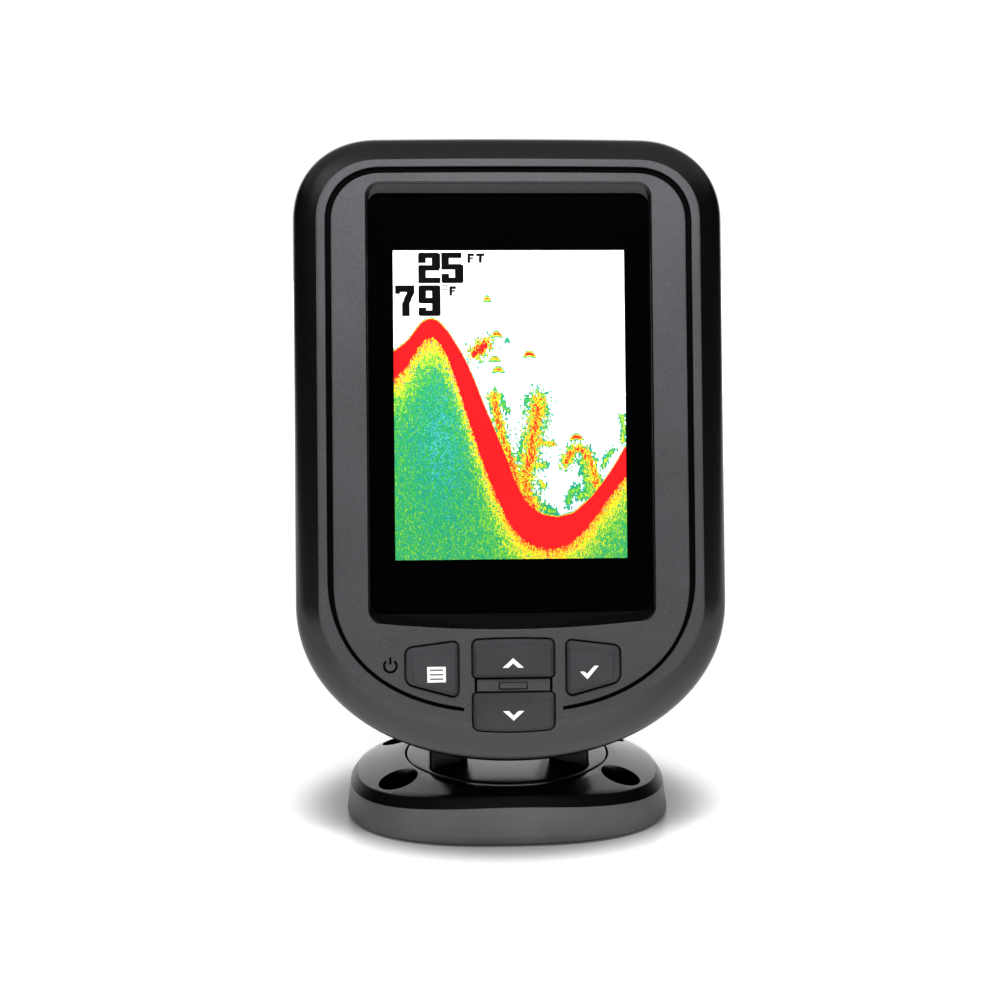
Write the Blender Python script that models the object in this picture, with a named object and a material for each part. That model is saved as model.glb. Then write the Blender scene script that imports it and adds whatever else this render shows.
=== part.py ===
"""Compact fish finder on a swivel and tilt mount: assembly model.

Metres, +Z up.  The origin is the centre of the mount's underside, on the
swivel axis.  The screen looks along -Y.  The head is drawn flat, in its own
face coordinates (x to the right, y up the face, z out of the face, zero at
the centre of the picture area), and is placed by two empties: one on the
tilt axis and one on the face.
"""
import math

import bmesh
import bpy
from mathutils import Vector

MM = 0.001

# ---------------------------------------------------------------- dimensions
# all in millimetres
PICTURE_W, PICTURE_H = 53.3, 71.1     # active area of a 3.5 inch 3:4 panel
LEAN = 9.9                            # degrees the head leans back at rest

BASE_A, BASE_B, BASE_N = 39.0, 31.4, 2.42  # half length, half depth, squareness at the rim
FOOT_A, FOOT_B, FOOT_N = 39.8, 31.9, 2.60  # the same where the walls meet the deck
BASE_TOP = 12.9                       # height of the swivel disc's face
BASE_FOOT = 0.4                       # underside of the shell, which hides the pad's edge
DOME_SLOPE = 0.270                    # fall of the base's top per mm outward
PAD_TOP = 1.1
DISC_R, POCKET_R = 25.1, 25.42
SCREW_X, SCREW_Y = 26.9, 15.4         # deck screw holes
COUNTERBORE_R, DECK_HOLE_R = 4.75, 2.6

AXIS_V, AXIS_W = -52.0, -36.0         # tilt axis in face coordinates
FACE_Y, FACE_Z = -18.56, 101.7        # centre of the picture area, world

ARM_IN, ARM_OUT = 10.0, 19.6            # inner and outer side of the two arms
ARM_R = 9.3
LUG_HALF, LUG_R = 8.6, 8.0
BOLT_R = 2.5

SKIN = 3.2                            # height of the face over the picture
SKIN_IN = 1.6                         # inner side of the face plate
SEAM_FRONT = -12.8                    # back edge of the bezel
SEAM_BACK = -14.2                     # front edge of the rear housing
BACK = -34.0                          # flat back of the rear housing
WALL = 2.2
KEY_TRAVEL = 0.8

# outlines of the head: half width, top, bottom, corner half-axes, corner
# squareness, height where the lower curve starts, its squareness, top bow
OUT_RIM = (49.6, 61.5, -82.0, 19.9, 19.1, 2.17, -45.4, 2.09, 0.20)
OUT_GROOVE = (41.35, 53.6, -70.5, 12.4, 11.9, 2.15, -40.0, 2.32, 0.15)

HOUSING_SCREWS = ((38.3, 46.0), (38.3, -4.0), (31.5, -59.0))
BOARD_SCREWS = ((31.6, 40.0), (31.6, -37.0))


# ------------------------------------------------------------------- helpers
def clear_scene():
    for obj in list(bpy.data.objects):
        bpy.data.objects.remove(obj, do_unlink=True)


def material(name, rgb, rough, metal=0.0):
    mat = bpy.data.materials.new(name)
    mat.use_nodes = True
    node = mat.node_tree.nodes.get("Principled BSDF")
    node.inputs["Base Color"].default_value = (*rgb, 1.0)
    node.inputs["Roughness"].default_value = rough
    node.inputs["Metallic"].default_value = metal
    return mat


def finish(name, bm, mat, parent=None, location=(0, 0, 0), smooth=None):
    """A bmesh drawn in millimetres becomes a named object in metres."""
    bmesh.ops.remove_doubles(bm, verts=bm.verts, dist=1e-4)
    bmesh.ops.recalc_face_normals(bm, faces=bm.faces)
    bmesh.ops.scale(bm, vec=(MM, MM, MM), verts=bm.verts)
    mesh = bpy.data.meshes.new(name)
    bm.to_mesh(mesh)
    bm.free()
    obj = bpy.data.objects.new(name, mesh)
    bpy.context.scene.collection.objects.link(obj)
    if mat is not None:
        mesh.materials.append(mat)
    obj.parent = parent
    obj.location = Vector(location) * MM
    if smooth is not None:
        mesh.shade_smooth()
        mesh.set_sharp_from_angle(angle=math.radians(smooth))
    return obj


def helper(obj):
    obj.hide_render = True
    obj.display_type = 'WIRE'
    return obj


def boolean(obj, other, operation):
    mod = obj.modifiers.new(operation.lower(), 'BOOLEAN')
    mod.operation = operation
    mod.object = other
    mod.solver = 'EXACT'
    return mod


def loft(bm, rings, caps=True, loop=False):
    """Skin a chain of rings that all have the same number of points."""
    rows = [[bm.verts.new(p) for p in ring] for ring in rings]
    count = len(rows[0])
    pairs = list(zip(rows, rows[1:]))
    if loop:
        pairs.append((rows[-1], rows[0]))
    for a, b in pairs:
        for i in range(count):
            j = (i + 1) % count
            bm.faces.new((a[i], a[j], b[j], b[i]))
    if caps and not loop:
        bm.faces.new(rows[0])
        bm.faces.new(list(reversed(rows[-1])))
    return rows


def prism(bm, outline, z0, z1):
    loft(bm, [[(x, y, z0) for x, y in outline], [(x, y, z1) for x, y in outline]])


def frame_solid(bm, outer, inner, z0, z1):
    loft(bm, [[(x, y, z0) for x, y in outer], [(x, y, z1) for x, y in outer],
              [(x, y, z1) for x, y in inner], [(x, y, z0) for x, y in inner]], loop=True)


def circle(cx, cy, r, segments=24, start=0.0):
    return [(cx + r * math.cos(start + 2 * math.pi * i / segments),
             cy + r * math.sin(start + 2 * math.pi * i / segments)) for i in range(segments)]


def rounded(points, radius, steps=3):
    """Round the corners of a convex polygon given counter-clockwise."""
    result = []
    count = len(points)
    radii = radius if isinstance(radius, (list, tuple)) else [radius] * count
    for i in range(count):
        p = Vector(points[i])
        a = (Vector(points[i - 1]) - p).normalized()
        b = (Vector(points[(i + 1) % count]) - p).normalized()
        half = a.angle(b) / 2
        reach = radii[i] / math.tan(half)
        centre = p + (a + b).normalized() * (radii[i] / math.sin(half))
        start = p + a * reach - centre
        end = p + b * reach - centre
        a0 = math.atan2(start.y, start.x)
        sweep = math.atan2(end.y, end.x) - a0
        sweep = (sweep + math.pi) % (2 * math.pi) - math.pi
        for k in range(steps + 1):
            t = a0 + sweep * k / steps
            result.append((centre.x + radii[i] * math.cos(t), centre.y + radii[i] * math.sin(t)))
    return result


def rect(x0, x1, y0, y1, radius=1.0, steps=3):
    return rounded([(x0, y0), (x1, y0), (x1, y1), (x0, y1)], radius, steps)


def grow(points, amount):
    """Offset a convex counter-clockwise polygon outward."""
    result = []
    count = len(points)
    for i in range(count):
        p = Vector(points[i])
        e0 = (p - Vector(points[i - 1])).normalized()
        e1 = (Vector(points[(i + 1) % count]) - p).normalized()
        n0, n1 = Vector((e0.y, -e0.x)), Vector((e1.y, -e1.x))
        n = (n0 + n1).normalized()
        result.append(tuple(p + n * (amount / max(0.3, n.dot(n0)))))
    return result


def turned(bm, profile, centre=(0, 0), segments=24, axis='Z', start=0.0):
    """A turned solid from (radius, height) pairs; both ends are flat caps."""
    rings = []
    for r, h in profile:
        ring = circle(0, 0, r, segments, start)
        if axis == 'Z':
            rings.append([(centre[0] + a, centre[1] + b, h) for a, b in ring])
        else:
            rings.append([(h, centre[0] + a, centre[1] + b) for a, b in ring])
    loft(bm, rings)


def hull2d(points):
    pts = sorted(set(points))

    def half(seq):
        out = []
        for p in seq:
            while len(out) > 1 and ((out[-1][0] - out[-2][0]) * (p[1] - out[-2][1])
                                    - (out[-1][1] - out[-2][1]) * (p[0] - out[-2][0])) <= 0:
                out.pop()
            out.append(p)
        return out[:-1]
    return half(pts) + half(reversed(pts))


def head_outline(a, top, bottom, ca, cb, cn, start, bn, bow, flat=3, corner=6, side=3, low=12):
    """Half of it, from the top middle to the bottom middle; mirrored after."""
    half = []
    xc = a - ca
    for i in range(flat):
        x = xc * i / flat
        half.append((x, top + bow * (1 - (x / xc) ** 2)))
    for i in range(corner):
        t = math.pi / 2 * (1 - i / corner)
        half.append((xc + ca * math.cos(t) ** (2 / cn), top - cb + cb * math.sin(t) ** (2 / cn)))
    for i in range(side):
        half.append((a, top - cb + (start - top + cb) * i / side))
    for i in range(low + 1):
        t = math.pi / 2 * i / low
        half.append((a * max(0.0, math.cos(t)) ** (2 / bn) if i < low else 0.0,
                     start - (start - bottom) * math.sin(t) ** (2 / bn)))
    return half + [(-x, y) for x, y in reversed(half[1:-1])]


def step_outline(base, side, top, bottom):
    """The same outline drawn in by different amounts at side, top, bottom."""
    a, t, b, ca, cb, cn, start, bn, bow = base
    return (a - side, t - top, b + bottom, ca - side * 0.93, cb - top * 0.93, cn, start, bn, bow)


# ------------------------------------------------------------------ the base
def dome(r):
    """Height of the base's top at a distance from the swivel axis."""
    d = max(0.0, r - POCKET_R)
    return BASE_TOP - 0.05 - DOME_SLOPE * d - 0.0022 * d * d


def base_outline(inset=0.0, segments=56, foot=False):
    a, b, n = (FOOT_A, FOOT_B, FOOT_N) if foot else (BASE_A, BASE_B, BASE_N)
    pts = []
    for i in range(segments):
        t = 2 * math.pi * i / segments
        c, s = math.cos(t), math.sin(t)
        pts.append(((a - inset) * math.copysign(abs(c) ** (2 / n), c),
                    (b - inset) * math.copysign(abs(s) ** (2 / n), s)))
    return pts


def mix(a, b, t):
    return tuple(p + (q - p) * t for p, q in zip(a, b))


def make_base(mat):
    rim = base_outline(0.0)
    bore = [(r[0] * 8.0 / math.hypot(*r), r[1] * 8.0 / math.hypot(*r)) for r in rim]
    pocket = [(x * POCKET_R / math.hypot(x, y), y * POCKET_R / math.hypot(x, y)) for x, y in rim]
    rings = [[(x, y, BASE_FOOT) for x, y in base_outline(0.35, foot=True)]]
    rings.append([(x, y, BASE_FOOT + 0.4) for x, y in base_outline(foot=True)])
    # wall, chamfered edge, dome
    for inset, drop in ((0.0, 1.88), (0.18, 1.58), (1.58, 0.14), (1.95, 0.0)):
        ring = base_outline(inset)
        rings.append([(x, y, dome(math.hypot(x, y)) - drop) for (x, y) in ring])
    last = base_outline(1.95)
    for t in (0.5,):
        rings.append([(*mix(a, b, t), dome(math.hypot(*mix(a, b, t)))) for a, b in zip(last, pocket)])
    rings.append([(x, y, dome(POCKET_R)) for x, y in pocket])
    rings.append([(x, y, 8.2) for x, y in pocket])
    rings.append([(x, y, 8.2) for x, y in bore])
    rings.append([(x, y, 6.2) for x, y in bore])
    inner = base_outline(WALL + 0.9, foot=True)
    mid = [mix(a, b, 0.62) for a, b in zip(bore, inner)]
    rings.append([(x, y, 6.2) for x, y in mid])
    rings.append([(x, y, min(6.2, dome(math.hypot(x, y)) - 2.4)) for x, y in base_outline(WALL + 0.7)])
    rings.append([(x, y, BASE_FOOT) for x, y in inner])
    bm = bmesh.new()
    loft(bm, rings, loop=True)
    base = finish("base_shell", bm, mat, smooth=35)
    # columns round the deck screws, then their holes
    bm = bmesh.new()
    for sx in (-1, 1):
        for sy in (-1, 1):
            prism(bm, circle(sx * SCREW_X, sy * SCREW_Y, COUNTERBORE_R + 1.0, 20), PAD_TOP + 0.4, 6.6)
    boolean(base, helper(finish("cut_base_columns", bm, None)), 'UNION')
    bm = bmesh.new()
    for sx in (-1, 1):
        for sy in (-1, 1):
            turned(bm, [(DECK_HOLE_R, -1.0), (DECK_HOLE_R, 4.6), (COUNTERBORE_R, 4.6),
                        (COUNTERBORE_R, 16.0)], (sx * SCREW_X, sy * SCREW_Y), 28)
    boolean(base, helper(finish("cut_base_holes", bm, None)), 'DIFFERENCE')
    return base


def make_pad(mat):
    bm = bmesh.new()
    prism(bm, base_outline(WALL + 1.3, 40, foot=True), 0.0, PAD_TOP)
    pad = finish("base_pad", bm, mat)
    bm = bmesh.new()
    for sx in (-1, 1):
        for sy in (-1, 1):
            prism(bm, circle(sx * SCREW_X, sy * SCREW_Y, DECK_HOLE_R + 0.2, 16), -1.0, 2.0)
    boolean(pad, helper(finish("cut_pad_holes", bm, None)), 'DIFFERENCE')
    return pad


# ---------------------------------------------------------------- the swivel
def arm_profile(front, rear, radius, axis_y, axis_z):
    """Side view of one arm (y, z), the same number of points at any width."""
    foot = BASE_TOP - 1.2
    pts = [(front, foot), (front, BASE_TOP + 0.0)]
    # front edge leans back to the eye, round the eye, and down the back
    a0 = math.radians(172)
    a1 = math.radians(-8)
    steps = 10
    for i in range(steps + 1):
        t = a0 + (a1 - a0) * i / steps
        pts.append((axis_y + radius * math.cos(t), axis_z + radius * math.sin(t)))
    pts += [(rear + 1.0, BASE_TOP + 9.0), (rear, BASE_TOP), (rear, foot)]
    return pts


def make_yoke(mat, axis_y, axis_z):
    bm = bmesh.new()
    turned(bm, [(7.65, 5.95), (7.65, 8.5), (DISC_R, 8.5), (DISC_R, BASE_TOP - 0.5),
                (DISC_R - 0.5, BASE_TOP + 0.07), (22.6, BASE_TOP + 0.37), (19.8, BASE_TOP + 0.70), (16.4, BASE_TOP + 0.97),
                (12.0, BASE_TOP + 1.1)], (0, 0), 64)
    yoke = finish("swivel_yoke", bm, mat, smooth=35)
    bm = bmesh.new()
    for sign in (-1, 1):
        stations = ((ARM_IN, -9.2, 13.6, ARM_R - 1.2), (ARM_IN + 1.4, -10.6, 14.8, ARM_R),
                    (ARM_OUT - 1.3, -14.2, 15.4, ARM_R), (ARM_OUT, -12.8, 14.0, ARM_R - 1.3))
        rings = []
        for x, front, rear, radius in stations:
            rings.append([(sign * x, y, z) for y, z in arm_profile(front, rear, radius, axis_y, axis_z)])
        loft(bm, rings)
    boolean(yoke, helper(finish("cut_yoke_arms", bm, None)), 'UNION')
    bm = bmesh.new()
    turned(bm, [(BOLT_R + 0.35, -30.0), (BOLT_R + 0.35, 30.0)], (axis_y, axis_z), 20, axis='X')
    boolean(yoke, helper(finish("cut_yoke_bore", bm, None)), 'DIFFERENCE')
    bm = bmesh.new()
    hexagon = circle(axis_y, axis_z, 5.0, 6, math.radians(30))
    loft(bm, [[(-30.0, y, z) for y, z in hexagon], [(-15.4, y, z) for y, z in hexagon]])
    boolean(yoke, helper(finish("cut_yoke_nut", bm, None)), 'DIFFERENCE')
    bm = bmesh.new()
    turned(bm, [(2.35, 2.0), (2.35, BASE_TOP - 1.8)], (0, 0), 20)
    boolean(yoke, helper(finish("cut_yoke_screw", bm, None)), 'DIFFERENCE')
    return yoke


def make_swivel_parts(mats, axis_y, axis_z, swivel, knob):
    bm = bmesh.new()
    frame_solid(bm, circle(0, 0, 13.0, 32), circle(0, 0, 8.4, 32), 5.1, 5.8)
    finish("swivel_washer", bm, mats["steel"], swivel)
    bm = bmesh.new()
    loft(bm, [[(x, y, 3.35) for x, y in circle(0, 0, 14.0, 32)], [(x, y, 4.8) for x, y in circle(0, 0, 14.0, 32)],
              [(x, y, 4.8) for x, y in circle(0, 0, 2.4, 32)], [(x, y, 3.35) for x, y in circle(0, 0, 2.4, 32)]], loop=True)
    finish("swivel_retainer", bm, mats["steel"], swivel)
    bm = bmesh.new()
    turned(bm, [(1.1, 2.0), (1.1, 1.25), (3.8, 1.25), (4.3, 1.75), (4.3, 3.05), (2.0, 3.05), (2.0, 10.2)],
           (0, 0), 20)
    finish("swivel_screw", bm, mats["steel"], swivel)
    # nut, friction discs
    bm = bmesh.new()
    hexagon = []
    for i in range(24):
        t = 2 * math.pi * i / 24
        k = (t - math.radians(30)) % (math.pi / 3) - math.pi / 6
        r = 4.6 * math.cos(math.pi / 6) / math.cos(k)
        hexagon.append((axis_y + r * math.cos(t), axis_z + r * math.sin(t)))
    bore = circle(axis_y, axis_z, BOLT_R + 0.3, 24)
    loft(bm, [[(-19.1, y, z) for y, z in hexagon], [(-15.8, y, z) for y, z in hexagon],
              [(-15.8, y, z) for y, z in bore], [(-19.1, y, z) for y, z in bore]], loop=True)
    finish("tilt_nut", bm, mats["steel"], swivel)
    # bolt and hand knob turn together about the tilt axis
    bm = bmesh.new()
    turned(bm, [(2.0, -18.9), (BOLT_R, -18.4), (BOLT_R, 27.5)], (0, 0), 20, axis='X')
    finish("tilt_bolt", bm, mats["steel"], knob)
    bm = bmesh.new()
    lobes = []
    for i in range(36):
        t = 2 * math.pi * i / 36
        lobes.append((1 + 0.075 * math.cos(6 * t), t))

    def star(r, x):
        return [(x, r * k * math.cos(t), r * k * math.sin(t)) for k, t in lobes]

    def ring(r, x):
        return [(x, r * math.cos(t), r * math.sin(t)) for k, t in lobes]
    loft(bm, [ring(2.85, 28.0), ring(2.85, 20.0), ring(5.6, 20.0), ring(6.0, 22.3), star(8.2, 22.7), star(8.8, 23.5),
              star(8.8, 28.9), star(8.0, 30.1), ring(5.0, 30.7)])
    finish("tilt_knob", bm, mats["knob"], knob, smooth=40)


# ------------------------------------------------------------------ the head
def key_shapes():
    menu = rounded([(-24.4, -63.5), (-12.15, -66.8), (-12.15, -54.1), (-24.4, -55.6)], [2.4, 1.2, 1.2, 1.8], 3)
    enter = [(-x, y) for x, y in reversed(menu)]
    up = rounded([(-9.2, -62.4), (9.2, -62.4), (9.2, -53.9), (0.0, -53.5), (-9.2, -53.9)],
                 [0.9, 0.9, 1.2, 160.0, 1.2], 3)
    down = rounded([(-9.2, -74.2), (0.0, -75.0), (9.2, -74.2), (9.2, -65.9), (-9.2, -65.9)],
                   [1.4, 80.0, 1.4, 0.9, 0.9], 3)
    return {"menu_key": menu, "up_key": up, "down_key": down, "enter_key": enter}


KEY_CENTRES = {"menu_key": (-18.3, -60.2), "up_key": (0.0, -58.0), "down_key": (0.0, -70.2),
               "enter_key": (18.3, -60.2)}


def level(outline, w):
    return [(x, y, w) for x, y in outline]


def window(x0, x1, y0, y1, radius, steps, bow):
    """A rounded rectangle whose lower edge sags in the middle and rises at the ends."""
    points = rect(x0, x1, y0, y1, radius, steps)
    first = steps + 1
    a, b = points[first - 1], points[first]
    between = [(a[0] + (b[0] - a[0]) * i / 12, y0) for i in range(1, 12)]
    points = points[:first] + between + points[first:]
    return [(x, y + bow * (3.0 * (x / 32.0) ** 2 - 1.0) if y < y0 + radius + 0.01 else y) for x, y in points]


def make_bezel(mat, face):
    rim = head_outline(*OUT_RIM)
    steps = [
        (head_outline(*step_outline(OUT_RIM, 0.5, 0.5, 0.5)), SEAM_FRONT),
        (rim, -1.2),
        (head_outline(*step_outline(OUT_RIM, 0.35, 0.35, 0.3)), 0.2),
        (head_outline(*step_outline(OUT_RIM, 2.3, 2.2, 2.4)), 1.9),
        (head_outline(*step_outline(OUT_RIM, 5.0, 4.9, 7.0)), 2.85),
        (head_outline(*step_outline(OUT_RIM, 5.8, 5.75, 9.7)), SKIN),
    ]
    groove_out = step_outline(OUT_GROOVE, -0.68, -0.68, -0.68)
    groove_in = step_outline(OUT_GROOVE, 0.68, 0.68, 0.68)
    floor_out = step_outline(OUT_GROOVE, -0.5, -0.5, -0.5)
    floor_in = step_outline(OUT_GROOVE, 0.5, 0.5, 0.5)
    rings = [level(points, w) for points, w in steps]

    def cut(points):
        # the groove stops either side of the lower key
        return [(x, y, SKIN if (abs(x) < 11.6 and y < 0) else SKIN - 0.9) for x, y in points]
    rings.append(level(head_outline(*groove_out), SKIN))
    rings.append(cut(head_outline(*floor_out)))
    rings.append(cut(head_outline(*floor_in)))
    rings.append(level(head_outline(*groove_in), SKIN))
    inner = [
        (head_outline(*step_outline(OUT_RIM, 8.4, 8.0, 9.6)), SKIN_IN),
        (head_outline(*step_outline(OUT_RIM, 5.4, 5.2, 5.6)), 0.2),
        (head_outline(*step_outline(OUT_RIM, 2.4, 2.3, 2.3)), -3.0),
        (head_outline(*step_outline(OUT_RIM, 2.5, 2.4, 2.4)), SEAM_FRONT),
    ]
    # one skin: the face, over the rim, round the back edge, the inner skin
    chain = list(reversed(rings)) + [level(points, w) for points, w in reversed(inner)]
    bm = bmesh.new()
    loft(bm, chain)
    bezel = finish("front_bezel", bm, mat, face, smooth=30)
    bm = bmesh.new()
    for x, y in HOUSING_SCREWS:
        for sign in (-1, 1):
            prism(bm, circle(sign * x, y, 3.2, 16), SEAM_FRONT + 0.1, 2.0)
    # raised bar of the panel between the arrow keys
    prism(bm, rect(-3.0, 3.0, -64.75, -63.65, 0.5, 2), 2.6, SKIN + 0.4)
    boolean(bezel, helper(finish("cut_bezel_posts", bm, None, face)), 'UNION')
    bm = bmesh.new()
    front = window(-32.55, 32.55, -51.1, 50.8, 3.0, 4, 0.6)
    deep = window(-32.25, 32.25, -47.5, 48.4, 2.6, 4, 0.0)
    loft(bm, [level(deep, 0.4), level(deep, SKIN_IN + 0.1), level(front, SKIN - 0.05), level(front, 6.0)])
    for name, shape in key_shapes().items():
        prism(bm, grow(shape, 0.4), -1.5, 6.0)
    boolean(bezel, helper(finish("cut_bezel_window", bm, None, face)), 'DIFFERENCE')
    bm = bmesh.new()
    for x, y in HOUSING_SCREWS:
        for sign in (-1, 1):
            prism(bm, circle(sign * x, y, 1.65, 12), SEAM_FRONT - 3.0, -4.0)
    boolean(bezel, helper(finish("cut_bezel_pilots", bm, None, face)), 'DIFFERENCE')
    return bezel


def share(v):
    """How much of the back's depth is left at a height on the face."""
    t = min(1.0, max(0.0, (v + 78.0) / 50.0))
    return 0.12 + 0.88 * t


def back_ring(outline, depth, lift=0.0):
    return [(x, y, SEAM_BACK - depth * share(y) + lift) for x, y in outline]


def cross_cap(bm, row):
    """Close a mirrored ring with strips from side to side."""
    n = len(row)
    half = n // 2
    for i in range(half):
        a, b = row[i], row[i + 1]
        c, d = row[(n - i - 1) % n], row[(n - i) % n]
        face = []
        for v in (a, b, c, d):
            if v not in face:
                face.append(v)
        if len(face) > 2:
            bm.faces.new(face)


def make_rear(mat, face):
    depth = SEAM_BACK - BACK
    rings = []
    for side, top, bottom, d in ((14.0, 13.0, 14.0, 1.0), (8.5, 8.0, 8.5, 0.93), (3.6, 3.4, 3.6, 0.66), (1.2, 1.2, 1.2, 0.25)):
        rings.append(back_ring(head_outline(*step_outline(OUT_RIM, side, top, bottom)), depth * d))
    rings.append(back_ring(head_outline(*step_outline(OUT_RIM, 0.6, 0.6, 0.6)), 0.0))
    rings.append(back_ring(head_outline(*step_outline(OUT_RIM, 2.6, 2.5, 2.5)), 0.0))
    for side, top, bottom, d in ((3.3, 3.2, 3.3, 0.25), (5.8, 5.6, 5.8, 0.62), (10.4, 9.8, 10.4, 0.86), (15.4, 14.4, 15.4, 0.89)):
        rings.append(back_ring(head_outline(*step_outline(OUT_RIM, side, top, bottom)), depth * d))
    bm = bmesh.new()
    rows = loft(bm, rings, caps=False)
    cross_cap(bm, rows[0])
    cross_cap(bm, rows[-1])
    rear = finish("rear_housing", bm, mat, face, smooth=35)

    def skin(v):
        return SEAM_BACK - depth * share(v)
    # tilt lug on the slope, posts for the case screws and for the board
    bm = bmesh.new()
    ring = [(AXIS_V + LUG_R * math.cos(2 * math.pi * i / 24), AXIS_W + LUG_R * math.sin(2 * math.pi * i / 24)) for i in range(24)]
    profile = hull2d(ring + [(-41.0, skin(-41.0) + 1.0), (-63.5, skin(-63.5) + 1.0)])
    loft(bm, [[(-LUG_HALF, v, w) for v, w in profile], [(LUG_HALF, v, w) for v, w in profile]])
    for x, y in HOUSING_SCREWS:
        for sign in (-1, 1):
            ring = circle(sign * x, y, 4.2, 16)
            loft(bm, [[(a, b, post_end(b)) for a, b in ring], level(ring, SEAM_BACK - 0.4)])
    for x, y in BOARD_SCREWS:
        for sign in (-1, 1):
            prism(bm, circle(sign * x, y, 2.6, 12), skin(y) + 1.0 if y < 0 else BACK + 2.0, -10.6)
    boolean(rear, helper(finish("cut_rear_posts", bm, None, face)), 'UNION')
    bm = bmesh.new()
    turned(bm, [(BOLT_R + 0.35, -20.0), (BOLT_R + 0.35, 20.0)], (AXIS_V, AXIS_W), 20, axis='X')
    for x, y in HOUSING_SCREWS:
        for sign in (-1, 1):
            seat = screw_seat(y)
            turned(bm, [(3.1, -45.0), (3.1, seat), (1.7, seat), (1.7, SEAM_BACK + 3.0)], (sign * x, y), 16)
    for x, y in BOARD_SCREWS:
        for sign in (-1, 1):
            prism(bm, circle(sign * x, y, 1.35, 12), -19.0, -8.0)
    for x, y in SOCKETS:
        prism(bm, circle(x, y, 8.1, 28), BACK - 6.0, BACK + 6.0)
    boolean(rear, helper(finish("cut_rear_holes", bm, None, face)), 'DIFFERENCE')
    return rear


def post_end(y):
    """The case posts run into the back wall, also where it slopes."""
    return max(-29.0, SEAM_BACK - (SEAM_BACK - BACK) * share(y) + 1.0)


def screw_seat(y):
    return -17.6 if y > -30.0 else -17.4


SOCKETS = ((-15.0, -10.0), (15.0, -10.0))


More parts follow.
